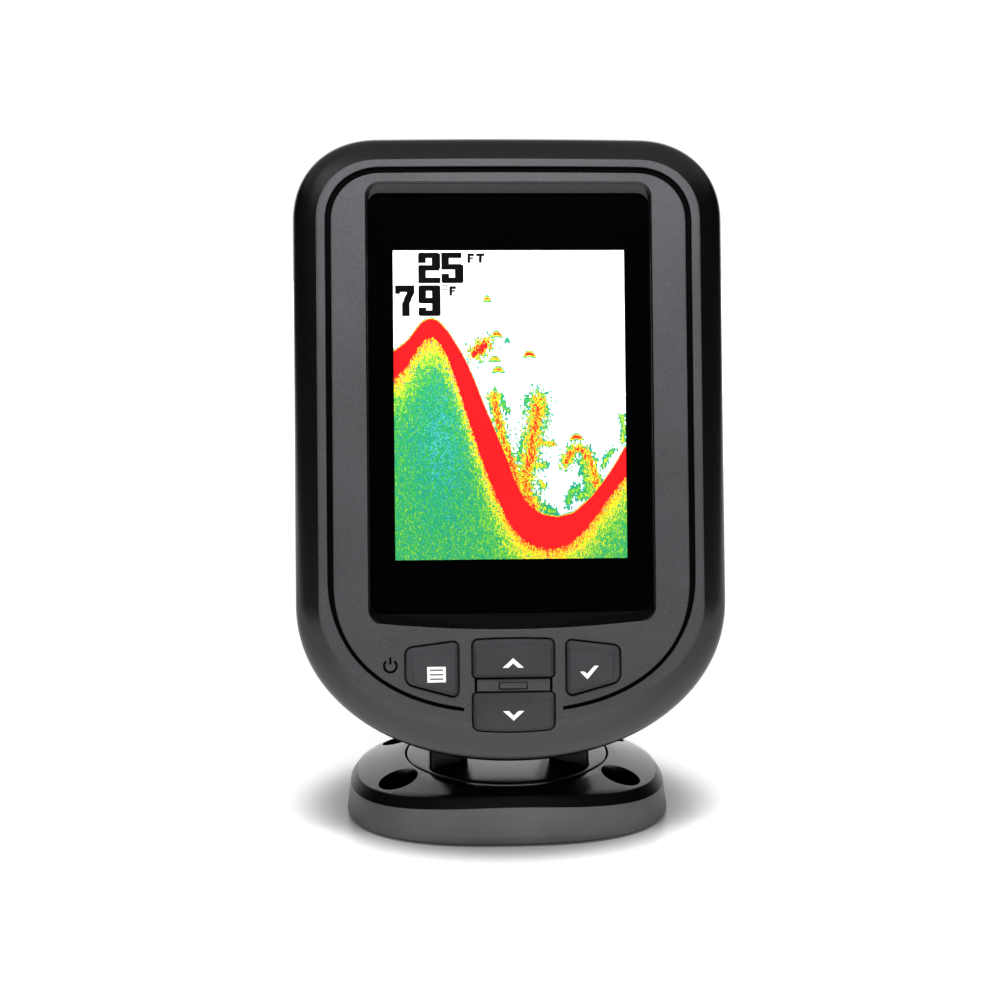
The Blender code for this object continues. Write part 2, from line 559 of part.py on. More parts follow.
def make_head_parts(mats, face):
    # seal between the two shells
    bm = bmesh.new()
    frame_solid(bm, head_outline(*step_outline(OUT_RIM, 1.0, 1.0, 1.0), flat=2, corner=4, side=1, low=8),
                head_outline(*step_outline(OUT_RIM, 2.3, 2.2, 2.2), flat=2, corner=4, side=1, low=8), -13.9, -13.1)
    finish("housing_gasket", bm, mats["rubber"], face)
    bm = bmesh.new()
    prism(bm, rect(-34.6, 34.6, -50.4, 51.4, 3.0, 3), -0.3, 0.6)
    finish("screen_lens", bm, mats["lens"], face)
    bm = bmesh.new()
    frame_solid(bm, rect(-34.3, 34.3, -50.1, 51.1, 2.8, 3), rect(-32.7, 32.7, -48.5, 49.5, 1.4, 3), 0.9, 1.3)
    finish("lens_gasket", bm, mats["rubber"], face)
    bm = bmesh.new()
    prism(bm, rect(-30.5, 30.5, -43.0, 39.5, 0.8, 2), -2.4, -0.6)
    finish("lcd_panel", bm, mats["glass"], face)
    bm = bmesh.new()
    prism(bm, rect(-31.0, 31.0, -43.0, 40.0, 1.0, 2), -5.6, -2.7)
    finish("lcd_backlight", bm, mats["white"], face)
    bm = bmesh.new()
    u_shape = [(-32.6, -43.0), (-31.4, -43.0), (-31.4, 40.4), (31.4, 40.4), (31.4, -43.0), (32.6, -43.0),
               (32.6, 41.6), (-32.6, 41.6)]
    prism(bm, u_shape, -5.6, -0.6)
    finish("lcd_bracket", bm, mats["steel"], face)
    ribbon("lcd_ribbon", mats["flex"], face, 9.0, 27.0,
           [(-43.35, -1.5), (-45.3, -1.8), (-46.6, -3.0), (-46.9, -4.5), (-46.2, -6.0), (-44.4, -6.9), (-40.0, -7.4), (-33.0, -7.9)], 0.25)
    # main board, its parts and its screws
    bm = bmesh.new()
    prism(bm, rect(-34.4, 34.4, -44.0, 48.0, 1.5, 2), -10.2, -8.6)
    board = finish("main_board", bm, mats["board"], face)
    bm = bmesh.new()
    for x, y in BOARD_SCREWS:
        for sign in (-1, 1):
            prism(bm, circle(sign * x, y, 1.4, 12), -12.0, -6.0)
    boolean(board, helper(finish("cut_board_holes", bm, None, face)), 'DIFFERENCE')
    for index, (x, y) in enumerate([(s * x, y) for x, y in BOARD_SCREWS for s in (-1, 1)], 1):
        bm = bmesh.new()
        turned(bm, [(0.7, -7.5), (0.7, -6.9), (2.0, -6.9), (2.1, -7.2), (2.1, -8.3), (1.0, -8.3), (1.0, -16.0)], (x, y), 12)
        finish("board_screw_%d" % index, bm, mats["steel"], face)
    for name, x0, x1, y0, y1, z0, z1, mat in (
            ("processor", -7.0, 7.0, 4.0, 18.0, -8.3, -6.9, "chip"),
            ("memory_chip", 12.0, 20.0, -20.0, -8.0, -8.3, -7.2, "chip"),
            ("sonar_transformer", -22.0, -8.0, 12.0, 26.0, -21.5, -10.5, "core"),
            ("power_converter", -26.0, -12.0, 31.0, 41.0, -16.0, -10.5, "chip")):
        bm = bmesh.new()
        prism(bm, rect(x0, x1, y0, y1, 0.6, 2), z0, z1)
        finish(name, bm, mats[mat], face)
    bm = bmesh.new()
    turned(bm, [(5.0, -10.5), (5.0, -22.2), (4.6, -22.8), (4.2, -22.8), (4.0, -22.5)], (16.0, 32.0), 20)
    finish("storage_capacitor", bm, mats["can"], face)
    bm = bmesh.new()
    turned(bm, [(6.0, -10.5), (6.0, -16.4), (5.4, -17.0), (1.2, -17.0), (1.2, -16.4)], (16.0, 15.0), 20)
    finish("power_coil", bm, mats["core"], face)
    bm = bmesh.new()
    turned(bm, [(6.0, -10.5), (6.0, -15.6), (5.6, -16.0), (1.1, -16.0), (1.1, -14.6)], (0.0, -33.0), 20)
    finish("buzzer", bm, mats["chip"], face)
    # keypad: rubber mat, switches, board, ribbon
    key_pcb = rounded([(-13.0, -74.4), (13.0, -74.4), (26.0, -64.5), (26.0, -54.0), (-26.0, -54.0), (-26.0, -64.5)], 1.5, 2)
    bm = bmesh.new()
    prism(bm, key_pcb, -3.4, -2.4)
    mat_obj = finish("keypad_mat", bm, mats["rubber"], face)
    bm = bmesh.new()
    for x, y in KEY_CENTRES.values():
        turned(bm, [(2.8, -2.9), (2.8, -1.8), (2.4, -1.4)], (x, y), 16)
    boolean(mat_obj, helper(finish("cut_mat_domes", bm, None, face)), 'UNION')
    for name, (x, y) in KEY_CENTRES.items():
        bm = bmesh.new()
        prism(bm, rect(x - 2.6, x + 2.6, y - 2.6, y + 2.6, 0.5, 1), -4.9, -4.1)
        finish(name.replace("_key", "_switch"), bm, mats["can"], face)
    bm = bmesh.new()
    prism(bm, key_pcb, -6.4, -5.2)
    finish("key_board", bm, mats["board"], face)
    ribbon("key_ribbon", mats["flex"], face, -6.0, 6.0,
           [(-57.0, -6.85), (-50.0, -6.85), (-47.8, -7.2), (-46.6, -7.9), (-45.0, -8.15), (-38.5, -8.15)], 0.2)
    # case screws
    for index, (x, y) in enumerate([(s * x, y) for x, y in HOUSING_SCREWS for s in (-1, 1)], 1):
        seat = screw_seat(y) - 0.3
        bm = bmesh.new()
        turned(bm, [(0.9, seat - 1.4), (0.9, seat - 2.2), (2.4, seat - 2.2), (2.7, seat - 1.8), (2.7, seat),
                    (1.3, seat), (1.3, -5.4), (0.7, -4.8)], (x, y), 12)
        finish("housing_screw_%d" % index, bm, mats["steel"], face)
    # sockets for the power lead and the transducer lead
    for name, (x, y), pins in (("power", SOCKETS[0], 3), ("sonar", SOCKETS[1], 5)):
        bm = bmesh.new()
        turned(bm, [(6.0, -27.4), (6.0, BACK - 2.4), (9.0, BACK - 2.4), (9.6, BACK - 1.8), (9.6, BACK - 0.3), (7.7, BACK - 0.3),
                    (7.7, -25.4)], (x, y), 28)
        finish(name + "_socket", bm, mats["socket"], face, smooth=35)
        bm = bmesh.new()
        turned(bm, [(5.6, -27.7), (5.6, -28.6)], (x, y), 20)
        block = finish(name + "_pins", bm, mats["brass"], face)
        bm = bmesh.new()
        for i in range(pins):
            t = 2 * math.pi * i / pins + 0.3
            prism(bm, circle(x + 3.1 * math.cos(t), y + 3.1 * math.sin(t), 0.6, 8), -33.6, -28.2)
        boolean(block, helper(finish("cut_%s_pins" % name, bm, None, face)), 'UNION')
    # friction discs either side of the lug
    for name, sign in (("tilt_washer_left", -1), ("tilt_washer_right", 1)):
        bm = bmesh.new()
        outer = circle(AXIS_V, AXIS_W, 7.4, 28)
        inner = circle(AXIS_V, AXIS_W, BOLT_R + 0.4, 28)
        x0, x1 = sign * (LUG_HALF + 0.3), sign * (ARM_IN - 0.3)
        loft(bm, [[(x0, v, w) for v, w in outer], [(x1, v, w) for v, w in outer],
                  [(x1, v, w) for v, w in inner], [(x0, v, w) for v, w in inner]], loop=True)
        finish(name, bm, mats["washer"], face)


def ribbon(name, mat, face, x0, x1, path, thickness):
    """A flat strip that follows a path in the (y, z) plane of the face."""
    pts = [Vector(p) for p in path]
    left, right = [], []
    for i, p in enumerate(pts):
        a = pts[max(0, i - 1)]
        b = pts[min(len(pts) - 1, i + 1)]
        d = (b - a).normalized()
        n = Vector((-d.y, d.x)) * thickness / 2
        left.append(tuple(p + n))
        right.append(tuple(p - n))
    profile = left + list(reversed(right))
    bm = bmesh.new()
    loft(bm, [[(x0, v, w) for v, w in profile], [(x1, v, w) for v, w in profile]])
    return finish(name, bm, mat, face)


def make_keys(mat, face):
    for name, shape in key_shapes().items():
        cx, cy = KEY_CENTRES[name]
        local = [(x - cx, y - cy) for x, y in shape]
        wide = grow(local, 1.1)
        if name == "down_key":
            wide = [(x, max(y, -71.4 - cy)) for x, y in wide]
        if name == "up_key":
            wide = [(x, min(y, -53.3 - cy)) for x, y in wide]
        bm = bmesh.new()
        rings = [level(grow(local, -1.2), SKIN + 0.80), level(grow(local, -0.75), SKIN + 0.68), level(grow(local, -0.12), SKIN + 0.1),
                 level(local, SKIN - 0.1), level(local, 1.2)]
        if name == "down_key":
            # the flange only reaches along the sides and the upper edge
            rings.append(level(local, 0.9))
            loft(bm, rings)
            obj = finish(name, bm, mat, face, location=(cx, cy, 0), smooth=30)
            bm = bmesh.new()
            prism(bm, rect(-10.3, 10.3, -71.4 - cy, -64.8 - cy, 0.8, 2), -0.2, 1.1)
            boolean(obj, helper(finish("cut_down_flange", bm, None, face, location=(cx, cy, 0))), 'UNION')
        else:
            rings += [level(wide, 1.2), level(wide, -0.2)]
            loft(bm, rings)
            finish(name, bm, mat, face, location=(cx, cy, 0), smooth=30)


def main():
    clear_scene()
    lean = math.radians(LEAN)
    # tilt axis: the face centre moved down the face and back from it
    axis_y = FACE_Y + AXIS_V * math.sin(lean) - AXIS_W * math.cos(lean)
    axis_z = FACE_Z + AXIS_V * math.cos(lean) + AXIS_W * math.sin(lean)

    mats = {
        "case": material("case_black", (0.020, 0.021, 0.022), 0.55),
        "base": material("base_black", (0.016, 0.017, 0.018), 0.32),
        "key": material("key_grey", (0.030, 0.031, 0.033), 0.5),
        "rubber": material("seal_rubber", (0.012, 0.012, 0.012), 0.85),
        "lens": material("lens_gloss", (0.005, 0.005, 0.006), 0.05),
        "glass": material("panel_glass", (0.10, 0.11, 0.12), 0.15),
        "white": material("diffuser_white", (0.75, 0.75, 0.73), 0.6),
        "steel": material("stainless_steel", (0.55, 0.55, 0.54), 0.35, 1.0),
        "board": material("circuit_green", (0.02, 0.12, 0.05), 0.5),
        "chip": material("chip_black", (0.02, 0.02, 0.022), 0.6),
        "core": material("ferrite_grey", (0.09, 0.09, 0.10), 0.7),
        "can": material("can_aluminium", (0.6, 0.6, 0.62), 0.4, 1.0),
        "flex": material("flex_amber", (0.45, 0.22, 0.03), 0.45),
        "socket": material("socket_black", (0.018, 0.018, 0.02), 0.5),
        "brass": material("contact_brass", (0.7, 0.5, 0.22), 0.35, 1.0),
        "washer": material("friction_nylon", (0.35, 0.35, 0.33), 0.6),
        "knob": material("knob_black", (0.018, 0.018, 0.019), 0.6),
    }
    # empties on the joints' axes
    swivel = bpy.data.objects.new("axis_swivel", None)
    tilt = bpy.data.objects.new("axis_tilt", None)
    knob = bpy.data.objects.new("axis_knob", None)
    face = bpy.data.objects.new("axis_face", None)
    for empty in (swivel, tilt, knob, face):
        bpy.context.scene.collection.objects.link(empty)
    tilt.location = (0, axis_y * MM, axis_z * MM)
    tilt.rotation_euler = (-lean, 0, 0)
    knob.location = (0, axis_y * MM, axis_z * MM)
    face.parent = tilt
    face.location = (0, AXIS_W * MM, -AXIS_V * MM)
    face.rotation_euler = (math.pi / 2, 0, 0)

    make_base(mats["base"])
    make_pad(mats["rubber"])
    make_yoke(mats["base"], axis_y, axis_z)
    make_swivel_parts(mats, axis_y, axis_z, swivel, knob)
    make_bezel(mats["case"], face)
    make_rear(mats["case"], face)
    make_head_parts(mats, face)
    make_keys(mats["key"], face)


main()
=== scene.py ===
"""Looks of the compact fish finder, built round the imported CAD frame."""
import math

import bmesh
import bpy
import numpy as np
from mathutils import Matrix, Vector


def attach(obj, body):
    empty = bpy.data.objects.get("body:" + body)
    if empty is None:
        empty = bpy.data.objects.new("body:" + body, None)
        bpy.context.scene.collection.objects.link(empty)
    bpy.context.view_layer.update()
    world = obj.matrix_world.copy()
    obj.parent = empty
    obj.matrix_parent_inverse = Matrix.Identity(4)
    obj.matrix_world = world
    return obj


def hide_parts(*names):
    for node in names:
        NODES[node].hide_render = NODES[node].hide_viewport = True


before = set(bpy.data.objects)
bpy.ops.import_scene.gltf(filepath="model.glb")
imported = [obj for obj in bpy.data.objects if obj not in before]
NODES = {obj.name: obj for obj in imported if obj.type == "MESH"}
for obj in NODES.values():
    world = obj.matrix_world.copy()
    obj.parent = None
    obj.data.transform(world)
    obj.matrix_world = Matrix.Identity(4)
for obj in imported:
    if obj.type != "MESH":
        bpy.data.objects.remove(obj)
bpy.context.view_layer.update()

MM = 0.001

# ------------------------------------------------------------------ dimensions
# The same design dimensions as the CAD, in millimetres.
LEAN = math.radians(9.9)
FACE_Y, FACE_Z = -18.56, 101.7
AXIS_V, AXIS_W = -52.0, -36.0
SIN, COS = math.sin(LEAN), math.cos(LEAN)
AXIS_Y = FACE_Y + AXIS_V * SIN - AXIS_W * COS
AXIS_Z = FACE_Z + AXIS_V * COS + AXIS_W * SIN
PICTURE_W, PICTURE_H = 53.3, 71.1
BASE_A, BASE_B, BASE_N = 39.0, 31.4, 2.42
FOOT_A, FOOT_B, FOOT_N = 39.8, 31.9, 2.60
BASE_TOP, BASE_FOOT = 12.9, 0.4
DOME_SLOPE = 0.270
DISC_R, POCKET_R = 25.1, 25.42
SCREW_X, SCREW_Y = 26.9, 15.4
COUNTERBORE_R, DECK_HOLE_R = 4.75, 2.6
PAD_TOP = 1.1
ARM_IN, ARM_OUT, ARM_R = 10.0, 19.6, 9.3
LUG_HALF, LUG_R, BOLT_R = 8.6, 8.0, 2.5
SKIN, SKIN_IN = 3.2, 1.6
SEAM_FRONT, SEAM_BACK, BACK = -12.8, -14.2, -34.0
WALL = 2.2
OUT_RIM = (49.6, 61.5, -82.0, 19.9, 19.1, 2.17, -45.4, 2.09, 0.20)
OUT_GROOVE = (41.35, 53.6, -70.5, 12.4, 11.9, 2.15, -40.0, 2.32, 0.15)
HOUSING_SCREWS = ((38.3, 46.0), (38.3, -4.0), (31.5, -59.0))
BOARD_SCREWS = ((31.6, 40.0), (31.6, -37.0))
SOCKETS = ((-15.0, -10.0), (15.0, -10.0))

FACE = Matrix(((1, 0, 0, 0), (0, SIN, -COS, FACE_Y * MM), (0, COS, SIN, FACE_Z * MM), (0, 0, 0, 1)))


# ------------------------------------------------------------------- materials
def tree_of(name):
    mat = bpy.data.materials.new(name)
    mat.use_nodes = True
    tree = mat.node_tree
    return mat, tree, tree.nodes["Principled BSDF"]


def noise(tree, scale, detail=3.0, rough=0.5, coords=None):
    node = tree.nodes.new("ShaderNodeTexNoise")
    node.inputs["Scale"].default_value = scale
    node.inputs["Detail"].default_value = detail
    node.inputs["Roughness"].default_value = rough
    if coords is None:
        coords = tree.nodes.new("ShaderNodeTexCoord").outputs["Object"]
    tree.links.new(coords, node.inputs["Vector"])
    return node


def span(tree, socket, lo, hi, a=0.3, b=0.7):
    node = tree.nodes.new("ShaderNodeMapRange")
    node.inputs["From Min"].default_value = a
    node.inputs["From Max"].default_value = b
    node.inputs["To Min"].default_value = lo
    node.inputs["To Max"].default_value = hi
    tree.links.new(socket, node.inputs["Value"])
    return node.outputs["Result"]


def two_tone(tree, socket, a, b, p0=0.35, p1=0.65):
    ramp = tree.nodes.new("ShaderNodeValToRGB")
    ramp.color_ramp.elements[0].position = p0
    ramp.color_ramp.elements[1].position = p1
    ramp.color_ramp.elements[0].color = (*a, 1)
    ramp.color_ramp.elements[1].color = (*b, 1)
    tree.links.new(socket, ramp.inputs["Fac"])
    return ramp.outputs["Color"]


def bump(tree, bsdf, socket, strength, distance):
    node = tree.nodes.new("ShaderNodeBump")
    node.inputs["Strength"].default_value = strength
    node.inputs["Distance"].default_value = distance
    tree.links.new(socket, node.inputs["Height"])
    tree.links.new(node.outputs["Normal"], bsdf.inputs["Normal"])


def moulded(name, tone, rough, grain=0.0, grain_mm=0.35, spread=0.12, spec=0.5, metal=0.0, coat=0.0, cloud=60.0,
            rough_spread=0.05):
    """Moulded plastic: slow tone drift, uneven gloss, and a spark-eroded grain."""
    mat, tree, bsdf = tree_of(name)
    coords = tree.nodes.new("ShaderNodeTexCoord").outputs["Object"]
    slow = noise(tree, cloud, 4.0, 0.55, coords)
    lo = tuple(c * (1 - spread) for c in tone)
    hi = tuple(min(1.0, c * (1 + spread)) for c in tone)
    tree.links.new(two_tone(tree, slow.outputs["Fac"], lo, hi), bsdf.inputs["Base Color"])
    fine = noise(tree, 1000.0 / grain_mm, 3.0, 0.6, coords)
    tree.links.new(span(tree, fine.outputs["Fac"], max(0.02, rough - rough_spread), rough + rough_spread),
                   bsdf.inputs["Roughness"])
    bsdf.inputs["Metallic"].default_value = metal
    bsdf.inputs["Specular IOR Level"].default_value = spec
    bsdf.inputs["Coat Weight"].default_value = coat
    if grain > 0:
        bump(tree, bsdf, fine.outputs["Fac"], grain, 0.00012)
    return mat


def speckled(name, tone, rough, grain, grain_mm, spec=0.5):
    """Textured face: moulded grain that also breaks the tone into fine specks."""
    mat, tree, bsdf = tree_of(name)
    coords = tree.nodes.new("ShaderNodeTexCoord").outputs["Object"]
    slow = noise(tree, 45.0, 4.0, 0.55, coords)
    fine = noise(tree, 1000.0 / grain_mm, 2.0, 0.65, coords)
    mixed = tree.nodes.new("ShaderNodeMath")
    mixed.operation = 'MULTIPLY_ADD'
    mixed.inputs[1].default_value = 0.75
    tree.links.new(fine.outputs["Fac"], mixed.inputs[0])
    tree.links.new(span(tree, slow.outputs["Fac"], 0.06, 0.18), mixed.inputs[2])
    tree.links.new(two_tone(tree, mixed.outputs[0], tuple(c * 0.72 for c in tone), tuple(c * 1.3 for c in tone), 0.3, 0.7),
                   bsdf.inputs["Base Color"])
    tree.links.new(span(tree, fine.outputs["Fac"], rough - 0.08, rough + 0.08), bsdf.inputs["Roughness"])
    bsdf.inputs["Specular IOR Level"].default_value = spec
    bump(tree, bsdf, fine.outputs["Fac"], grain, 0.0001)
    return mat


def metal(name, tone, rough, brushed=True):
    mat, tree, bsdf = tree_of(name)
    coords = tree.nodes.new("ShaderNodeTexCoord").outputs["Object"]
    mapping = tree.nodes.new("ShaderNodeMapping")
    mapping.inputs["Scale"].default_value = (1.0, 1.0, 14.0) if brushed else (1.0, 1.0, 1.0)
    tree.links.new(coords, mapping.inputs["Vector"])
    fine = noise(tree, 900.0, 4.0, 0.6, mapping.outputs["Vector"])
    tree.links.new(two_tone(tree, fine.outputs["Fac"], tuple(c * 0.82 for c in tone), tuple(min(1, c * 1.1) for c in tone)),
                   bsdf.inputs["Base Color"])
    tree.links.new(span(tree, fine.outputs["Fac"], rough - 0.08, rough + 0.1), bsdf.inputs["Roughness"])
    bsdf.inputs["Metallic"].default_value = 1.0
    bump(tree, bsdf, fine.outputs["Fac"], 0.15, 0.00005)
    return mat


def board_mask(name):
    """Green solder mask with faint copper runs under it."""
    mat, tree, bsdf = tree_of(name)
    coords = tree.nodes.new("ShaderNodeTexCoord").outputs["Object"]
    brick = tree.nodes.new("ShaderNodeTexBrick")
    brick.inputs["Scale"].default_value = 420.0
    brick.inputs["Color1"].default_value = (0.012, 0.11, 0.045, 1)
    brick.inputs["Color2"].default_value = (0.016, 0.14, 0.06, 1)
    brick.inputs["Mortar"].default_value = (0.05, 0.22, 0.08, 1)
    brick.inputs["Mortar Size"].default_value = 0.06
    tree.links.new(coords, brick.inputs["Vector"])
    tree.links.new(brick.outputs["Color"], bsdf.inputs["Base Color"])
    fine = noise(tree, 1500.0, 2.0, 0.5, coords)
    tree.links.new(span(tree, fine.outputs["Fac"], 0.32, 0.45), bsdf.inputs["Roughness"])
    return mat


def picture_ink(name):
    """The lit panel: the cell colours shine a little through the lens."""
    mat, tree, bsdf = tree_of(name)
    cells = tree.nodes.new("ShaderNodeAttribute")
    cells.attribute_name = "cells"
    drift = noise(tree, 30.0, 2.0)
    tone = tree.nodes.new("ShaderNodeMix")
    tone.data_type = 'RGBA'
    tone.blend_type = 'MULTIPLY'
    tone.inputs[0].default_value = 1.0
    tree.links.new(cells.outputs["Color"], tone.inputs[6])
    tree.links.new(two_tone(tree, drift.outputs["Fac"], (0.96, 0.96, 0.97), (1, 1, 1)), tone.inputs[7])
    tree.links.new(tone.outputs[2], bsdf.inputs["Base Color"])
    tree.links.new(tone.outputs[2], bsdf.inputs["Emission Color"])
    bsdf.inputs["Emission Strength"].default_value = 0.26
    bsdf.inputs["Roughness"].default_value = 0.35
    bsdf.inputs["Specular IOR Level"].default_value = 0.2
    return mat


M = {
    "satin": moulded("rim_satin", (0.0010, 0.0010, 0.0012), 0.22, 0.04, 0.25, spec=0.72),
    "texture": speckled("face_texture", (0.048, 0.048, 0.052), 0.52, 0.35, 0.42, spec=0.28),
    "wall": moulded("recess_gloss", (0.003, 0.003, 0.0034), 0.22, 0.0, 0.3, spec=0.5),
    # a darker, almost glossless copy of the recess wall for the window's lower sill: painted shade in the recess
    "sill_shade": moulded("recess_sill_painted_shade", (0.0012, 0.0012, 0.0014), 0.16, 0.0, 0.3, spec=0.05),
    "back": moulded("back_texture", (0.014, 0.014, 0.0155), 0.5, 0.30, 0.5),
    "base": moulded("base_satin", (0.002, 0.002, 0.0023), 0.16, 0.05, 0.30, spec=0.6, rough_spread=0.04),
    # a lighter grey copy of the base plastic for the side walls: painted reflection of the bright floor
    "skirt_painted_light": moulded("base_skirt_painted_reflection", (0.084, 0.084, 0.088), 0.42, 0.10, 0.30, spec=0.4, rough_spread=0.04),
    # a matt, almost glossless copy of the base plastic for the rolled edge, so that it stays black: painted shade
    "edge": moulded("base_edge_painted_shade", (0.0012, 0.0012, 0.0014), 0.30, 0.05, 0.30, spec=0.10),
    # matt black with almost no gloss: painted shade laid in the face's grooves and gaps; the power mark's print uses it
    # too
    "gap_shade_and_print": moulded("gap_shade_and_print_black", (0.0010, 0.0010, 0.0012), 0.65, 0.05, 0.30, spec=0.04),
    "key": moulded("key_soft", (0.037, 0.038, 0.041), 0.48, 0.12, 0.30, spec=0.22),
    "lens": moulded("lens_black", (0.0004, 0.0004, 0.0005), 0.045, 0.0, 0.5, spec=0.5, rough_spread=0.015),
    "icon": moulded("icon_white", (0.86, 0.86, 0.86), 0.45, 0.05, 0.15, 0.02),
    "mark": moulded("mark_dark", (0.006, 0.006, 0.007), 0.5, 0.05, 0.15),
    "grey_mark": moulded("icon_bar", (0.085, 0.085, 0.09), 0.5, 0.05, 0.15, 0.03),
    "picture": picture_ink("picture_cells"),
    "rubber": moulded("seal_matt", (0.010, 0.010, 0.010), 0.8, 0.3, 0.6),
    "steel": metal("fastener_steel", (0.55, 0.55, 0.54), 0.32),
    "can": metal("can_metal", (0.62, 0.62, 0.64), 0.38, False),
    "brass": metal("pin_brass", (0.72, 0.52, 0.22), 0.3, False),
    "socket": moulded("socket_moulding", (0.012, 0.012, 0.0135), 0.42, 0.15, 0.3),
    "knob": moulded("knob_moulding", (0.012, 0.012, 0.013), 0.55, 0.35, 0.45),
    "nylon": moulded("friction_disc", (0.34, 0.34, 0.32), 0.55, 0.15, 0.4),
    "glass": moulded("panel_back", (0.10, 0.11, 0.12), 0.14, 0.0, 0.5),
    "white": moulded("diffuser", (0.75, 0.75, 0.73), 0.6, 0.1, 0.5, 0.03),
    "chip": moulded("chip_epoxy", (0.018, 0.018, 0.02), 0.55, 0.3, 0.2),
    "core": moulded("core_sintered", (0.09, 0.09, 0.10), 0.7, 0.4, 0.3),
    "flex": moulded("flex_film", (0.45, 0.22, 0.03), 0.35, 0.0, 0.5),
    "board": board_mask("board_green"),
}

CAD_LOOKS = {
    "base_pad": "rubber", "swivel_washer": "steel", "swivel_retainer": "steel", "swivel_screw": "steel",
    "tilt_nut": "steel", "tilt_bolt": "steel", "housing_gasket": "rubber", "lens_gasket": "rubber",
    "lcd_panel": "glass", "lcd_backlight": "white", "lcd_bracket": "steel", "lcd_ribbon": "flex", "key_ribbon": "flex",
    "main_board": "board", "key_board": "board", "processor": "chip", "memory_chip": "chip", "power_converter": "chip",
    "buzzer": "chip", "sonar_transformer": "core", "power_coil": "core", "storage_capacitor": "can",
    "keypad_mat": "rubber", "power_pins": "brass", "sonar_pins": "brass", "tilt_washer_left": "nylon",
    "tilt_washer_right": "nylon", "menu_switch": "can", "up_switch": "can", "down_switch": "can", "enter_switch": "can",
}
for i in range(1, 5):
    CAD_LOOKS["board_screw_%d" % i] = "steel"
for node_name, look in CAD_LOOKS.items():
    mesh = NODES[node_name].data
    mesh.materials.clear()
    mesh.materials.append(M[look])


# --------------------------------------------------------------------- shaping
def put(name, bm, looks, body, replaces=(), face=True, smooth=30, look_of=None, merge=1e-4):
    """A bmesh in millimetres becomes a piece that rides on a body."""
    bmesh.ops.remove_doubles(bm, verts=bm.verts, dist=merge)
    bmesh.ops.recalc_face_normals(bm, faces=bm.faces)
    mesh = bpy.data.meshes.new(name)
    bm.to_mesh(mesh)
    bm.free()
    obj = bpy.data.objects.new(name, mesh)
    bpy.context.scene.collection.objects.link(obj)
    return dress(obj, looks, body, replaces, face, smooth, look_of)


def dress(obj, looks, body, replaces=(), face=True, smooth=30, look_of=None):
    mesh = obj.data
    mesh.materials.clear()
    for look in looks:
        mesh.materials.append(M[look])
    if look_of is not None:
        for poly in mesh.polygons:
            poly.material_index = look_of(poly.center, poly.normal)
    else:
        for poly in mesh.polygons:
            poly.material_index = 0
    # flat lands keep their own normal, so that bevels beside them don't bend it
    lands = [len(poly.vertices) > 5 or max(abs(c) for c in poly.normal) > 0.99995 for poly in mesh.polygons]
    mesh.transform(Matrix.Scale(MM, 4))
    if face:
        mesh.transform(FACE)
    mesh.shade_smooth()
    mesh.set_sharp_from_angle(angle=math.radians(smooth))
    for poly, land in zip(mesh.polygons, lands):
        if land:
            poly.use_smooth = False
    if body:
        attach(obj, body)
    if replaces:
        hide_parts(*replaces)
    return obj


def raw(bm):
    """A bmesh in millimetres as a bare object, for cutting."""
    bmesh.ops.remove_doubles(bm, verts=bm.verts, dist=1e-5)
    bmesh.ops.recalc_face_normals(bm, faces=bm.faces)
    mesh = bpy.data.meshes.new("raw")
    bm.to_mesh(mesh)
    bm.free()
    obj = bpy.data.objects.new("raw", mesh)
    bpy.context.scene.collection.objects.link(obj)
    return obj


def carve(obj, cutters, operation='DIFFERENCE'):
    """Applies boolean cuts and removes the cutters."""
    for cutter in cutters:
        mod = obj.modifiers.new("cut", 'BOOLEAN')
        mod.object = cutter
        mod.operation = operation
        mod.solver = 'EXACT'
    deps = bpy.context.evaluated_depsgraph_get()
    mesh = bpy.data.meshes.new_from_object(obj.evaluated_get(deps))
    obj.modifiers.clear()
    obj.data = mesh
    for cutter in cutters:
        bpy.data.objects.remove(cutter)
    return obj


def take(obj):
    """The bare object's mesh as a bmesh again."""
    bm = bmesh.new()
    bm.from_mesh(obj.data)
    bpy.data.objects.remove(obj)
    return bm


def loft(bm, rings, caps=True, loop=False):
    rows = [[bm.verts.new(p) for p in ring] for ring in rings]
    count = len(rows[0])
    pairs = list(zip(rows, rows[1:]))
    if loop:
        pairs.append((rows[-1], rows[0]))
    for a, b in pairs:
        for i in range(count):
            j = (i + 1) % count
            bm.faces.new((a[i], a[j], b[j], b[i]))
    if caps and not loop:
        bm.faces.new(rows[0])
        bm.faces.new(list(reversed(rows[-1])))
    return rows


def level(outline, w):
    return [(x, y, w) for x, y in outline]


def circle(cx, cy, r, segments=48, start=0.0):
    return [(cx + r * math.cos(start + 2 * math.pi * i / segments),
             cy + r * math.sin(start + 2 * math.pi * i / segments)) for i in range(segments)]


def rounded(points, radius, steps=6):
    result = []
    count = len(points)
    radii = radius if isinstance(radius, (list, tuple)) else [radius] * count
    for i in range(count):
        p = Vector(points[i])
        a = (Vector(points[i - 1]) - p).normalized()
        b = (Vector(points[(i + 1) % count]) - p).normalized()
        half = a.angle(b) / 2
        reach = radii[i] / math.tan(half)
        centre = p + (a + b).normalized() * (radii[i] / math.sin(half))
        start = p + a * reach - centre
        end = p + b * reach - centre
        a0 = math.atan2(start.y, start.x)
        sweep = math.atan2(end.y, end.x) - a0
        sweep = (sweep + math.pi) % (2 * math.pi) - math.pi
        for k in range(steps + 1):
            t = a0 + sweep * k / steps
            result.append((centre.x + radii[i] * math.cos(t), centre.y + radii[i] * math.sin(t)))
    return result


def rect(x0, x1, y0, y1, radius=1.0, steps=6):
    return rounded([(x0, y0), (x1, y0), (x1, y1), (x0, y1)], radius, steps)


